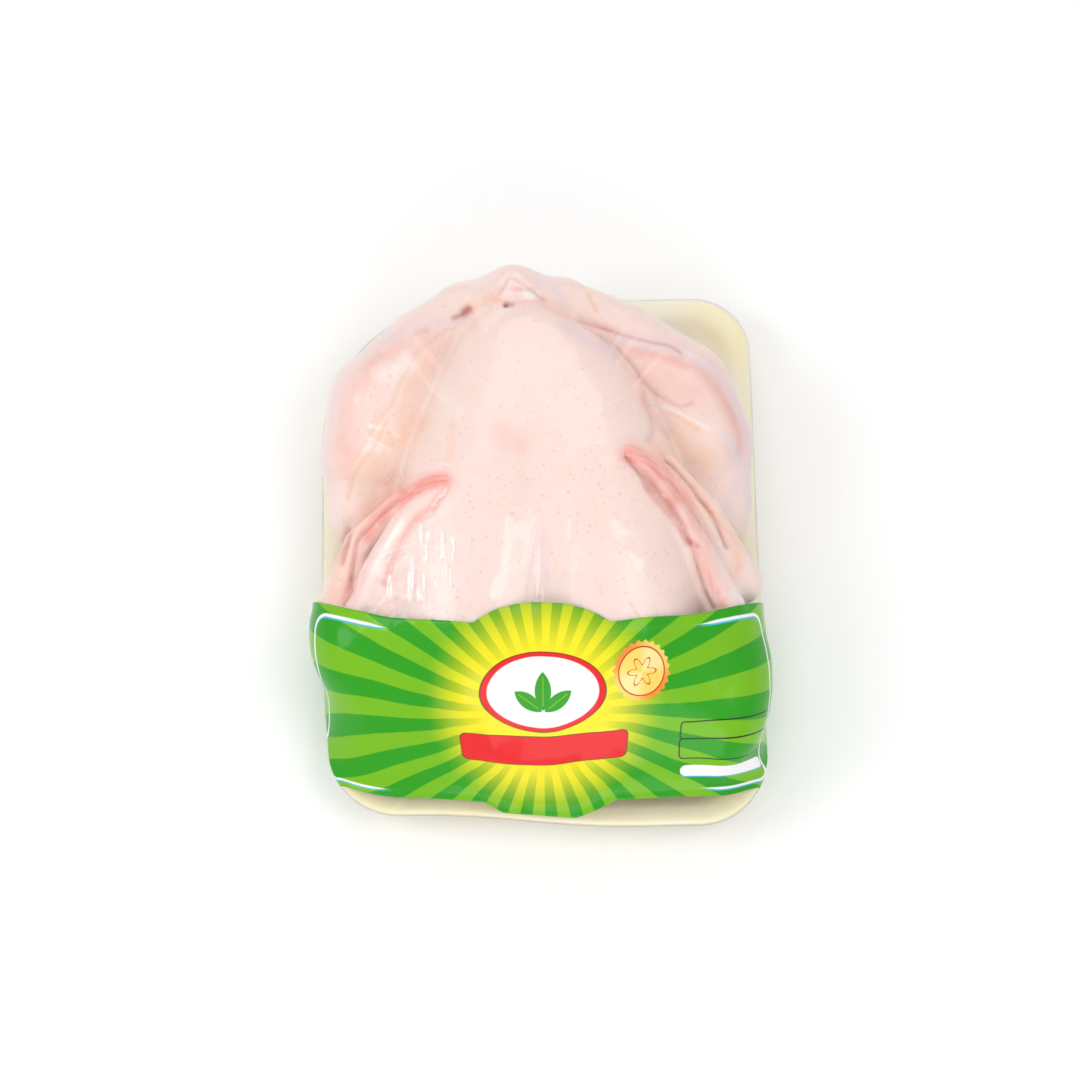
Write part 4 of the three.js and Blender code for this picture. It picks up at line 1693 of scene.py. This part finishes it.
def spaced(inputs: dict[str, object]) -> dict[str, object]:
    """Gives a node's inputs their own names, with spaces for each _."""
    return {name.replace("_", " "): value for name, value in inputs.items()}


class GroupBench(NodeBench):
    """A bench on a new shader node group that works out one number from named inputs."""

    def __init__(self, name: str, vectors: tuple[str, ...], numbers: tuple[str, ...], result: str) -> None:
        """Starts the group.

        Args:
            name: The group's name.
            vectors: The names of the inputs that are vectors.
            numbers: The names of the inputs that are numbers.
            result: The name of its output.
        """
        super().__init__(bpy.data.node_groups.new(name, "ShaderNodeTree"))
        for labels, kind in ((vectors, "NodeSocketVector"), (numbers, "NodeSocketFloat")):
            for label in labels:
                self.tree.interface.new_socket(label, in_out="INPUT", socket_type=kind)
        self.tree.interface.new_socket(result, in_out="OUTPUT", socket_type="NodeSocketFloat")
        entry = self.add("NodeGroupInput")
        self.given = {label: Signal(self, entry.outputs[label]) for label in (*vectors, *numbers)}

    def finish(self, result: Signal) -> bpy.types.NodeTree:
        """Joins the result to the group's output."""
        self.add("NodeGroupOutput", {0: result})
        return self.tree


def mottle_group() -> bpy.types.NodeTree:
    """Makes the group for uneven colour: soft blotches, from 0 to 1."""
    bench = GroupBench("mottle", ("Vector",), ("Fineness", "Contrast"), "Factor")
    inputs = {"Vector": bench.given["Vector"], "Scale": bench.given["Fineness"], "Detail": 4.0}
    noise = bench.take("ShaderNodeTexNoise", inputs, "Fac")
    return bench.finish(bench.math("ADD", (noise - 0.5) * bench.given["Contrast"], 0.5, clamp=True))


def pitting_group() -> bpy.types.NodeTree:
    """Makes the group for fine rounded grain, as a height from 0 to 1."""
    bench = GroupBench("pitting", ("Vector",), ("Fineness", "Unevenness"), "Height")
    place, fineness = bench.given["Vector"], bench.given["Fineness"]
    inputs = {"Vector": place, "Scale": fineness, "Smoothness": 0.6}
    cells = bench.take("ShaderNodeTexVoronoi", inputs, "Distance", feature="SMOOTH_F1")
    swell = bench.take("ShaderNodeTexNoise", {"Vector": place, "Scale": fineness * 0.3, "Detail": 3.0}, "Fac")
    return bench.finish(cells + swell * bench.given["Unevenness"])


def plate_group() -> bpy.types.NodeTree:
    """Makes the group for the signed distance to a rounded box in the print's plane."""
    bench = GroupBench("rounded_plate", ("Vector", "Centre", "Half Size"), ("Corner",), "Distance")
    off = bench.vector("SUBTRACT", bench.given["Vector"], bench.given["Centre"])
    beyond = bench.vector("SUBTRACT", bench.vector("ABSOLUTE", off), bench.given["Half Size"])
    corner = bench.given["Corner"]
    x, y = [side + corner for side in bench.split(beyond)[:2]]
    x_out, y_out = [bench.math("MAXIMUM", side, 0.0) for side in (x, y)]
    inner = bench.math("MINIMUM", bench.math("MAXIMUM", x, y), 0.0)
    return bench.finish(bench.math("SQRT", x_out * x_out + y_out * y_out) + inner - corner)


@dataclass(frozen=True)
class SharedGroups:
    """The node groups that several finishes use."""

    mottle: bpy.types.NodeTree
    pitting: bpy.types.NodeTree
    plate: bpy.types.NodeTree


class FinishBench(NodeBench):
    """A bench on the nodes of a new material, with the shared groups to hand."""

    def __init__(self, name: str, groups: SharedGroups) -> None:
        """Starts the material.

        Args:
            name: Its name.
            groups: The shared node groups.
        """
        self.material = bpy.data.materials.new(name)
        self.material.use_nodes = True
        super().__init__(self.material.node_tree)
        self.tree.nodes.clear()
        self.groups = groups
        self.place = self.take("ShaderNodeTexCoord", output="Object")

    def share(self, group: bpy.types.NodeTree, **inputs: object) -> Signal:
        """Places a shared group, whose inputs are named with _ for a space."""
        return self.take("ShaderNodeGroup", spaced(inputs), node_tree=group)

    def mottle(self, fineness: float, contrast: float, place: Signal | None = None) -> Signal:
        """Reads soft blotches, over the object's own coordinates unless another place is given."""
        vector = place or self.place
        return self.share(self.groups.mottle, Vector=vector, Fineness=fineness, Contrast=contrast)

    def grain(self, fineness: float, unevenness: float) -> Signal:
        """Reads fine rounded grain over the object's own coordinates."""
        return self.share(self.groups.pitting, Vector=self.place, Fineness=fineness, Unevenness=unevenness)

    def attribute(self, name: str, output: str = "Color") -> Signal:
        """Reads an attribute of the mesh."""
        return self.take("ShaderNodeAttribute", output=output, attribute_name=name)

    def bump(self, height: Signal, strength: float, distance: float) -> Signal:
        """Turns a height into a bent normal."""
        return self.take("ShaderNodeBump", {"Height": height, "Strength": strength, "Distance": distance})

    def finish(self, shader: Signal) -> Material:
        """Joins the shader to the material's output."""
        self.add("ShaderNodeOutputMaterial", {0: shader})
        return self.material

    def surface(self, **inputs: object) -> Material:
        """Finishes the material with a principled surface, whose inputs are named with _ for a space."""
        return self.finish(self.take("ShaderNodeBsdfPrincipled", spaced(inputs)))


@dataclass(frozen=True)
class SkinFinish:
    """Raw chicken skin: very pale, uneven pink, softly lit from within, with tinted marks and painted shade
    in its creases.
    """

    ground: Colour = (0.94, 0.755, 0.70)
    rosy: Colour = (0.93, 0.68, 0.62)
    creamy: Colour = (0.95, 0.82, 0.75)
    meat: Colour = (0.92, 0.25, 0.20)
    # the colour of the painted shade in creases, gaps and hollows
    painted_shade: Colour = (0.50, 0.20, 0.16)
    lilac: Colour = (0.84, 0.70, 0.72)
    fat: Colour = (0.94, 0.62, 0.42)
    pale: Colour = (0.97, 0.89, 0.86)
    # pink of the legs and flaps, also the colour of painted shade along creases and in folds
    blush_and_shade: Colour = (0.90, 0.55, 0.49)
    rosy_share: float = 0.5
    creamy_share: float = 0.35
    strands: float = 0.38
    strand_scale: Pair = (0.09, 0.75)
    patchiness: float = 0.5
    roughness: float = 0.42
    wetness: float = 0.35
    glow: float = 0.3
    glow_depth: float = 0.006
    glow_colour: Colour = (1.0, 0.35, 0.22)

    def make(self, groups: SharedGroups) -> Material:
        """Makes the material.

        Args:
            groups: The shared node groups.

        Returns:
            The material.
        """
        bench = FinishBench("raw_skin", groups)
        fine = bench.mottle(190.0, 1.3)
        colour = bench.mix(bench.mottle(26.0, 1.6) * self.rosy_share, self.ground, self.rosy)
        colour = bench.mix(fine * self.creamy_share, colour, self.creamy)
        meat, painted_shade, lilac = bench.split(bench.attribute("tints_strong"), "Color")
        fat, pale, blush_and_shade = bench.split(bench.attribute("tints_soft"), "Color")
        along, across, fleshy = bench.split(bench.attribute("fibres", "Vector"))
        run, pitch = self.strand_scale
        drawn = bench.take("ShaderNodeCombineXYZ", {0: along * run, 1: across * pitch})
        strands = fleshy * bench.mottle(1.0, 3.0, drawn) * self.strands
        patchy = fine * self.patchiness + (1.0 - self.patchiness / 2)
        for mask, tint in (
            (blush_and_shade, self.blush_and_shade), (lilac, self.lilac), (fat, self.fat), (pale, self.pale), (meat, self.meat),
            (strands, self.pale), (painted_shade, self.painted_shade),
        ):
            colour = bench.mix(bench.math("MULTIPLY", mask, patchy, clamp=True), colour, tint)
        return bench.surface(
            Base_Color=colour, Roughness=self.roughness, Specular_IOR_Level=self.wetness,
            Subsurface_Weight=self.glow, Subsurface_Scale=self.glow_depth, Subsurface_Radius=self.glow_colour,
            Normal=bench.bump(bench.grain(900.0, 0.8), 0.25, 0.0002),
        )


@dataclass(frozen=True)
class DotFinish:
    """The small raised follicles of the skin, or the dark pores among them."""

    name: str
    colour: Colour
    deep: Colour
    roughness: float = 0.45

    def make(self, groups: SharedGroups) -> Material:
        """Makes the material from the shared node groups."""
        bench = FinishBench(self.name, groups)
        colour = bench.mix(bench.mottle(300.0, 2.0), self.colour, self.deep)
        return bench.surface(Base_Color=colour, Roughness=self.roughness)


@dataclass(frozen=True)
class FilmFinish:
    """Clear stretch film: see-through, with sharp reflections, and painted white highlights where the lights
    reflect off lifted or crinkled parts.
    """

    tone: Colour = (0.97, 0.95, 0.95)
    gloss_gain: float = 1.2
    most_gloss: float = 0.4
    clear_roughness: float = 0.15
    sheen_roughness: float = 0.5
    sheen_unevenness: float = 0.3
    glint_turn: float = 0.45
    glint_stretch: Triple = (1.0, 0.13, 0.3)
    glint_edges: Pair = (0.06, -0.03)

    def make(self, groups: SharedGroups) -> Material:
        """Makes the material.

        Args:
            groups: The shared node groups.

        Returns:
            The material.
        """
        bench = FinishBench("clear_film", groups)
        # painted highlights: a milky white sheen and glint streaks, mixed in as diffuse white over the clear
        # film
        sheen_patches, glint_patches, _ = bench.split(bench.attribute("painted_sheen"), "Color")
        milky_sheen = sheen_patches * (bench.mottle(120.0, 2.0) * self.sheen_unevenness + (1.0 - self.sheen_unevenness / 2))
        drawn = bench.take("ShaderNodeMapping", {
            "Vector": bench.place, "Rotation": (0.0, 0.0, self.glint_turn), "Scale": self.glint_stretch,
        })
        glint = bench.ramp(abs(bench.mottle(150.0, 1.0, drawn) - 0.5), *self.glint_edges)
        painted_sheen = bench.math("ADD", milky_sheen, glint_patches * glint, clamp=True)
        bent = bench.bump(bench.mottle(60.0, 1.0), 0.5, 0.0006)
        fresnel = bench.take("ShaderNodeFresnel", {"IOR": 1.5, "Normal": bent})
        gloss = bench.math("MINIMUM", fresnel * self.gloss_gain, self.most_gloss)
        weight = bench.math("ADD", gloss, painted_sheen, clamp=True)
        sheen_share = bench.math("DIVIDE", painted_sheen, bench.math("MAXIMUM", weight, 0.001), clamp=True)
        ends = {0: sheen_share, 3: self.clear_roughness, 4: self.sheen_roughness}
        shine = bench.take("ShaderNodeBsdfPrincipled", {
            "Base Color": self.tone, "Metallic": bench.math("SUBTRACT", 1.0, sheen_share, clamp=True),
            "Roughness": bench.take("ShaderNodeMapRange", ends), "Normal": bent,
        })
        clear = bench.take("ShaderNodeBsdfTransparent")
        return bench.finish(bench.take("ShaderNodeMixShader", {0: weight, 1: clear, 2: shine}))


@dataclass(frozen=True)
class FoamFinish:
    """Pale yellow polystyrene foam, with the fine skin of its cells."""

    ground: Colour = (0.98, 0.87, 0.53)
    light: Colour = (0.98, 0.92, 0.68)
    roughness: float = 0.5
    glow: float = 0.2
    glow_depth: float = 0.004
    glow_colour: Colour = (1.0, 0.9, 0.6)

    def make(self, groups: SharedGroups) -> Material:
        """Makes the material from the shared node groups."""
        bench = FinishBench("pale_foam", groups)
        return bench.surface(
            Base_Color=bench.mix(bench.mottle(22.0, 1.8), self.ground, self.light), Roughness=self.roughness,
            Subsurface_Weight=self.glow, Subsurface_Scale=self.glow_depth, Subsurface_Radius=self.glow_colour,
            Normal=bench.bump(bench.grain(1100.0, 0.5), 0.3, 0.0002),
        )


class PrintBench(FinishBench):
    """A bench that lays inks over each other on the sheet, whose coordinates are in centimetres."""

    def __init__(self, name: str, groups: SharedGroups, edge: float) -> None:
        """Starts the material.

        Args:
            name: Its name.
            groups: The shared node groups.
            edge: Half the width of a printed edge, in centimetres.
        """
        super().__init__(name, groups)
        self.sheet = self.take("ShaderNodeUVMap", uv_map="print")
        self.edge = edge
        self.colour: object = (1.0, 1.0, 1.0)

    def lay(self, distance: Signal, tint: object) -> None:
        """Prints a tint over the rest where a signed distance is below zero."""
        self.colour = self.mix(self.ramp(distance, self.edge, -self.edge), self.colour, tint)

    def polar(self, centre: Pair, sheet: Signal | None = None) -> tuple[Signal, Signal]:
        """Measures the sheet round a centre, as the angle and the distance."""
        across, along = self.split(sheet or self.sheet)[:2]
        x, y = across - centre[0], along - centre[1]
        return self.math("ARCTAN2", y, x), self.math("SQRT", x * x + y * y)

    def plate(self, centre: Pair, half: Pair, corner: float) -> Signal:
        """Measures the sheet from the edge of a rounded box."""
        box = {"Centre": (*centre, 0.0), "Half_Size": (*half, 0.0), "Corner": corner}
        return self.share(self.groups.plate, Vector=self.sheet, **box)


@dataclass(frozen=True)
class PrintFinish:
    """The band's print: green rays round a yellow glow, a frame line, a seal, plates and a plain motif.

    Sizes and places on the sheet are in centimetres from the middle of the pack.
    """

    yellow: Colour = (0.86, 0.74, 0.01)
    light_green: Colour = (0.16, 0.45, 0.001)
    dark_green: Colour = (0.016, 0.31, 0.0005)
    white: Colour = (0.86, 0.84, 0.84)
    cyan: Colour = (0.05, 0.48, 0.62)
    red: Colour = (0.75, 0.012, 0.016)
    gold: Colour = (0.95, 0.62, 0.12)
    pale_gold: Colour = (0.97, 0.72, 0.30)
    amber: Colour = (0.85, 0.25, 0.03)
    brown: Colour = (0.42, 0.03, 0.01)
    black: Colour = (0.01, 0.02, 0.01)
    speckle: Colour = (0.9, 0.9, 0.9)
    speckle_share: float = 0.03
    edge: float = 0.018
    roughness: float = 0.22
    ink_shine: float = 0.12
    film_coat: float = 0.16
    coat_roughness: float = 0.1
    middle: Pair = (0.0, 0.4)
    rays: float = 30.0
    dark_glow: Pair = (5.0, 2.0)
    light_glow: Pair = (5.2, 2.8)
    frame_middle: float = -0.12
    frame_half: Pair = (10.2, 3.47)
    frame_corner: float = 0.7
    frame_line: float = 0.06
    frame_ends: Pair = (6.3, 7.6)
    frame_shadow: float = 0.07
    frame_taper: float = 0.07
    seal_centre: Pair = (4.05, 1.75)
    seal_radius: float = 1.1
    seal_face: float = 0.93
    seal_teeth: int = 48
    tooth_height: float = 0.12
    ring_radius: float = 0.95
    thin_line: float = 0.028
    petal_line: float = 0.03
    rosette: float = 0.42
    petals: float = 6.0
    petal_height: float = 0.16
    plates_middle: float = 7.9
    plates_half: float = 2.2
    boxes: tuple[Pair, ...] = ((-0.74, 0.36), (-1.56, 0.46))
    box_corner: float = 0.15
    pill: Pair = (-2.66, 0.29)
    pill_corner: float = 0.28
    pill_shadow: float = 0.06
    plaque_height: float = 1.15
    plaque_squash: float = 0.62
    plaque_rims: Triple = (1.62, 1.59, 1.43)
    stem: float = 0.35
    leaves: tuple[Pair, ...] = ((0.0, 0.85), (0.95, 0.75), (-0.95, 0.75))
    disc_size: float = 1.25
    disc_offset: float = 0.68
    vein_line: float = 0.025
    vein_inset: float = 0.12
    bar_height: float = -1.25
    bar_half: Pair = (3.5, 0.6)
    bar_corner: float = 0.3
    bar_line: float = 0.03

    def make(self, groups: SharedGroups) -> Material:
        """Makes the material.

        Args:
            groups: The shared node groups.

        Returns:
            The material.
        """
        bench = PrintBench("printed_film", groups, self.edge)
        for draw in (self.sunburst, self.frame, self.seal, self.plates, self.motif):
            draw(bench)
        colour = bench.mix(bench.mottle(1500.0, 1.0) * self.speckle_share, bench.colour, self.speckle)
        return bench.surface(
            Base_Color=colour, Roughness=self.roughness, Specular_IOR_Level=self.ink_shine,
            Coat_Weight=self.film_coat, Coat_Roughness=self.coat_roughness,
            Normal=bench.bump(bench.mottle(45.0, 1.0), 0.4, 0.0006),
        )

    def sunburst(self, bench: PrintBench) -> None:
        """Draws the rays and the glow at their middle.

        Args:
            bench: The print's bench.
        """
        angle, radius = bench.polar(self.middle)
        width = bench.math("DIVIDE", self.edge * self.rays, bench.math("MAXIMUM", radius, 0.2))
        ray = bench.ramp(bench.math("SINE", angle * self.rays), width * -1.0, width)
        dark = bench.mix(bench.ramp(radius, *self.dark_glow), self.dark_green, self.yellow)
        light = bench.mix(bench.ramp(radius, *self.light_glow), self.light_green, self.yellow)
        bench.colour = bench.mix(ray, dark, light)

    def frame(self, bench: PrintBench) -> None:
        """Draws the frame line at both ends, with its cyan shadow.

        Args:
            bench: The print's bench.
        """
        shown = bench.ramp(abs(bench.split(bench.sheet)[0]), *self.frame_ends)
        for drop, tint in ((self.frame_shadow, self.cyan), (0.0, self.white)):
            plate = bench.plate((0.0, self.frame_middle - drop), self.frame_half, self.frame_corner)
            bench.lay(abs(plate) - self.frame_line + (1.0 - shown) * self.frame_taper, tint)

    def seal(self, bench: PrintBench) -> None:
        """Draws a plain gold seal with a toothed edge, a ring and a small rosette.

        Args:
            bench: The print's bench.
        """
        angle, radius = bench.polar(self.seal_centre)
        teeth = bench.math("PINGPONG", angle * (self.seal_teeth / 2 / math.pi), 1.0)
        sweep = bench.math("SINE", angle * 2.0)
        metal = bench.mix(bench.ramp(sweep, -0.9, 0.9), self.amber, self.gold)
        bench.lay(radius - (teeth * self.tooth_height + self.seal_radius), metal)
        face = bench.mix(bench.ramp(sweep, 0.9, -0.6), self.pale_gold, self.gold)
        bench.lay(radius - self.seal_face, face)
        bench.lay(abs(radius - self.ring_radius) - self.thin_line, self.brown)
        flower = bench.math("COSINE", angle * self.petals) * self.petal_height + self.rosette
        bench.lay(abs(radius - flower) - self.petal_line, self.brown)

    def plates(self, bench: PrintBench) -> None:
        """Draws the empty table and the white plate at the right end.

        Args:
            bench: The print's bench.
        """
        for level, half in self.boxes:
            box = bench.plate((self.plates_middle, level), (self.plates_half, half), self.box_corner)
            bench.lay(abs(box) - self.thin_line, self.black)
        level, half = self.pill
        for drop, tint in ((self.pill_shadow, self.cyan), (0.0, self.white)):
            pill = bench.plate((self.plates_middle, level - drop), (self.plates_half, half), self.pill_corner)
            bench.lay(pill, tint)

    def motif(self, bench: PrintBench) -> None:
        """Draws the middle: an oval white plaque with a sprig of leaves, over a plain red bar.

        Args:
            bench: The print's bench.
        """
        squashed = {"Vector": bench.sheet, "Scale": (self.plaque_squash, 1.0, 1.0)}
        _, oval = bench.polar((0.0, self.plaque_height), bench.take("ShaderNodeMapping", squashed))
        for size, tint in zip(self.plaque_rims, (self.black, self.red, self.white)):
            bench.lay(oval - size, tint)
        for lean, length in self.leaves:
            self.leaf(bench, lean, length)
        for grow, tint in ((self.bar_line, self.black), (0.0, self.red)):
            half = (self.bar_half[0] + grow, self.bar_half[1] + grow)
            bench.lay(bench.plate((0.0, self.bar_height), half, self.bar_corner), tint)

    def leaf(self, bench: PrintBench, lean: float, length: float) -> None:
        """Draws one pointed leaf of the sprig, where two discs overlap, with its vein.

        Args:
            bench: The print's bench.
            lean: Its turn from upright, in radians.
            length: Half its length, in centimetres.
        """
        turn = {"Vector": bench.sheet, "Center": (0.0, self.stem, 0.0), "Angle": lean}
        turned = bench.take("ShaderNodeVectorRotate", turn, rotation_type="Z_AXIS")
        disc = length * self.disc_size
        left, right = [
            bench.polar((side * disc * self.disc_offset, self.stem + length), turned)[1] - disc
            for side in (-1, 1)
        ]
        shape = bench.math("MAXIMUM", left, right)
        bench.lay(shape, self.dark_green)
        vein = bench.math("MAXIMUM", abs(bench.split(turned)[0]) - self.vein_line, shape + self.vein_inset)
        bench.lay(vein, self.light_green)


# ---- small things spread over the skin ----
@dataclass(frozen=True)
class SkinDots:
    """Small domes spread over the skin by a node tree: follicles, or dark pores."""

    name: str
    spacing: float
    density: float
    radius: float
    flatness: float
    zone: str
    seed: int

    def tree(self) -> bpy.types.NodeTree:
        """Builds the tree that spreads the domes."""
        tree = bpy.data.node_groups.new(self.name, "GeometryNodeTree")
        sockets = {
            "Skin": "NodeSocketGeometry", "Spacing": "NodeSocketFloat", "Density": "NodeSocketFloat",
            "Radius": "NodeSocketFloat", "Flatness": "NodeSocketFloat", "Seed": "NodeSocketInt",
            "Finish": "NodeSocketMaterial",
        }
        for label, kind in sockets.items():
            tree.interface.new_socket(label, in_out="INPUT", socket_type=kind)
        tree.interface.new_socket("Dots", in_out="OUTPUT", socket_type="NodeSocketGeometry")
        bench = NodeBench(tree)
        given = bench.add("NodeGroupInput").outputs
        zone = bench.add("GeometryNodeInputNamedAttribute", {"Name": self.zone}, data_type="FLOAT")
        points = bench.add("GeometryNodeDistributePointsOnFaces", distribute_method="POISSON")
        joined = {"Mesh": "Skin", "Distance Min": "Spacing", "Density Max": "Density", "Seed": "Seed"}
        for name, label in joined.items():
            bench.feed(points.inputs[name], given[label])
        bench.feed(points.inputs["Density Factor"], zone.outputs["Attribute"])
        ball = bench.add("GeometryNodeMeshUVSphere", {"Segments": 7, "Rings": 4, "Radius": given["Radius"]})
        flat = bench.add("ShaderNodeCombineXYZ", {0: 1.0, 1: 1.0, 2: given["Flatness"]})
        dome = bench.add("GeometryNodeTransform", {"Geometry": ball.outputs[0], "Scale": flat.outputs[0]})
        size = bench.add("FunctionNodeRandomValue", data_type="FLOAT")
        for socket in size.inputs:
            if socket.name in ("Min", "Max") and socket.type == "VALUE":
                socket.default_value = 0.6 if socket.name == "Min" else 1.25
        placed = bench.add("GeometryNodeInstanceOnPoints", {
            "Points": points.outputs["Points"], "Instance": dome.outputs[0],
            "Rotation": points.outputs["Rotation"],
        })
        scale = next(socket for socket in size.outputs if socket.enabled)
        bench.feed(placed.inputs["Scale"], scale)
        real = bench.add("GeometryNodeRealizeInstances", {0: placed.outputs[0]})
        smooth = bench.add("GeometryNodeSetShadeSmooth", {0: real.outputs[0]})
        dressed = bench.add("GeometryNodeSetMaterial", {0: smooth.outputs[0], "Material": given["Finish"]})
        out = bench.add("NodeGroupOutput")
        bench.feed(out.inputs[0], dressed.outputs[0])
        return tree

    def build(self, bird: Piece, material: Material) -> Piece:
        """Spreads the domes over the bird and makes them a plain mesh.

        Args:
            bird: The bird, with the zone as a vertex attribute.
            material: Their finish.

        Returns:
            The domes.
        """
        carrier = linked(self.name + "_carrier", bird.data)
        modifier = carrier.modifiers.new("spread", "NODES")
        modifier.node_group = self.tree()
        values = {
            "Spacing": self.spacing * MM, "Density": self.density, "Radius": self.radius * MM,
            "Flatness": self.flatness, "Seed": self.seed, "Finish": material,
        }
        for item in modifier.node_group.interface.items_tree:
            if item.item_type == "SOCKET" and item.in_out == "INPUT" and item.name in values:
                modifier[item.identifier] = values[item.name]
        bpy.context.view_layer.update()
        mesh = worked_out(carrier)
        bpy.data.objects.remove(carrier)
        mesh.name = self.name
        return linked(self.name, mesh)


def add_zones(bird: Piece) -> None:
    """Marks on the bird where follicles and dark pores grow.

    Args:
        bird: The bird.
    """
    count = len(bird.data.vertices)
    points, normals = vertex_places(bird), np.empty(count * 3)
    bird.data.vertex_normals.foreach_get("vector", normals)
    spots = LOOKOUT.project(points)
    flesh = np.empty(count * 4)
    bird.data.attributes["tints_strong"].data.foreach_get("color", flesh)
    # no follicles grow on flesh or where shade is painted
    meat, painted_shade = flesh.reshape(-1, 4)[:, :2].T
    bare = np.clip(1.0 - 3.0 * meat - 6.0 * painted_shade, 0.0, 1.0)
    lowest, keel_x, keel_spread, keel_end = 40.0, 1.5, 6.0, 75.0
    up = np.clip(normals[2::3] * 3.0, 0.0, 1.0) * (points[:, 2] > lowest) * bare
    patches = 0.5 + 0.5 * value_noise(points, 26.0, 51)
    keel = np.exp(-((np.abs(spots[:, 0] - keel_x) / keel_spread) ** 2)) * (spots[:, 1] < keel_end)
    store(bird, "follicle_zone", up * (0.25 + 0.75 * patches))
    store(bird, "pore_zone", up * (0.03 * patches + 0.35 * keel))


# ---- the studio ----
@dataclass(frozen=True)
class Softbox:
    """A square area light that faces the pack: where it stands, and how brightly it lights a white card."""

    name: str
    direction: Triple
    distance: float
    size: float
    light: float

    def add(self) -> None:
        """Adds the light."""
        data = bpy.data.lights.new(self.name, "AREA")
        data.energy = self.light * (math.pi * self.distance) ** 2
        data.size = self.size
        lamp = linked(self.name, data)
        way = Vector(self.direction).normalized()
        lamp.location = Vector((0.0, 0.0, 0.05)) + way * self.distance
        lamp.rotation_euler = way.to_track_quat("Z", "Y").to_euler()


@dataclass
class Studio:
    """A pale floor under a white sky, with softboxes on both sides."""

    softboxes: tuple[Softbox, ...] = (
        Softbox("softbox_left", (-0.72, 0.0, 0.69), 1.1, 0.5, 0.27),
        Softbox("softbox_right", (0.45, -0.08, 0.89), 1.2, 0.55, 0.20),
        Softbox("softbox_above", (0.0, 0.1, 1.0), 1.5, 1.2, 0.06),
        Softbox("softbox_back", (0.0, 0.8, 0.6), 1.5, 1.2, 0.22),
        Softbox("softbox_front", (0.05, -0.9, 0.44), 1.3, 0.9, 0.32),
    )
    sky: float = 0.6
    floor_half: float = 8.0
    floor_colours: tuple[Colour, Colour] = ((0.89, 0.89, 0.89), (0.91, 0.91, 0.91))

    def build(self, groups: SharedGroups) -> None:
        """Adds the floor, the sky and the lights, and sets plain tones.

        Args:
            groups: The shared node groups, for the floor's finish.
        """
        world = bpy.data.worlds.new("white_sky")
        world.use_nodes = True
        background = world.node_tree.nodes["Background"]
        background.inputs[0].default_value = (1.0, 1.0, 1.0, 1.0)
        background.inputs[1].default_value = self.sky
        scene = bpy.context.scene
        scene.world = world
        scene.view_settings.view_transform = "Standard"
        for softbox in self.softboxes:
            softbox.add()
        bench = FinishBench("pale_floor", groups)
        noise = bench.take("ShaderNodeTexNoise", {"Vector": bench.place, "Scale": 3.0}, "Fac")
        material = bench.surface(Base_Color=bench.mix(noise, *self.floor_colours), Roughness=0.7)
        half = self.floor_half / MM
        corners = np.array([(-half, -half, 0), (half, -half, 0), (half, half, 0), (-half, half, 0)], float)
        new_object("floor", corners, [[0, 1, 2, 3]], material)


LOOKOUT = Lookout()


def main() -> None:
    """Builds the pack round its frame, piece by piece."""
    logging.basicConfig(level=logging.INFO, format="%(relativeCreated)7d ms %(name)s: %(message)s")
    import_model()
    LOOKOUT.add_camera()
    groups = SharedGroups(mottle_group(), pitting_group(), plate_group())
    Studio().build(groups)
    tray = FoamTray()
    declare(tray.build(FoamFinish().make(groups)), "foam", "tray")
    bird = Chicken(tray).build(SkinFinish().make(groups))
    film = ClearFilm(tray, bird).build(FilmFinish().make(groups))
    declare(bird, "film_over_skin", "wrapped_chicken")
    declare(film, "film_over_skin", "wrapped_chicken")
    add_zones(bird)
    follicle = DotFinish("follicle_skin", (0.94, 0.74, 0.68), (0.92, 0.66, 0.60))
    pore = DotFinish("dark_pore", (0.94, 0.60, 0.50), (0.90, 0.54, 0.46))
    for dots, finish in (
        (SkinDots("skin_follicles", 2.4, 90000.0, 0.5, 0.22, "follicle_zone", 3), follicle),
        (SkinDots("dark_pores", 4.0, 2200.0, 0.22, 0.3, "pore_zone", 7), pore),
    ):
        declare(dots.build(bird, finish.make(groups)), "film_over_skin")
    band = PrintedBand(tray, film).build(PrintFinish().make(groups))
    declare(band, "printed_band", "label_band")


if __name__ == "__main__":
    main()
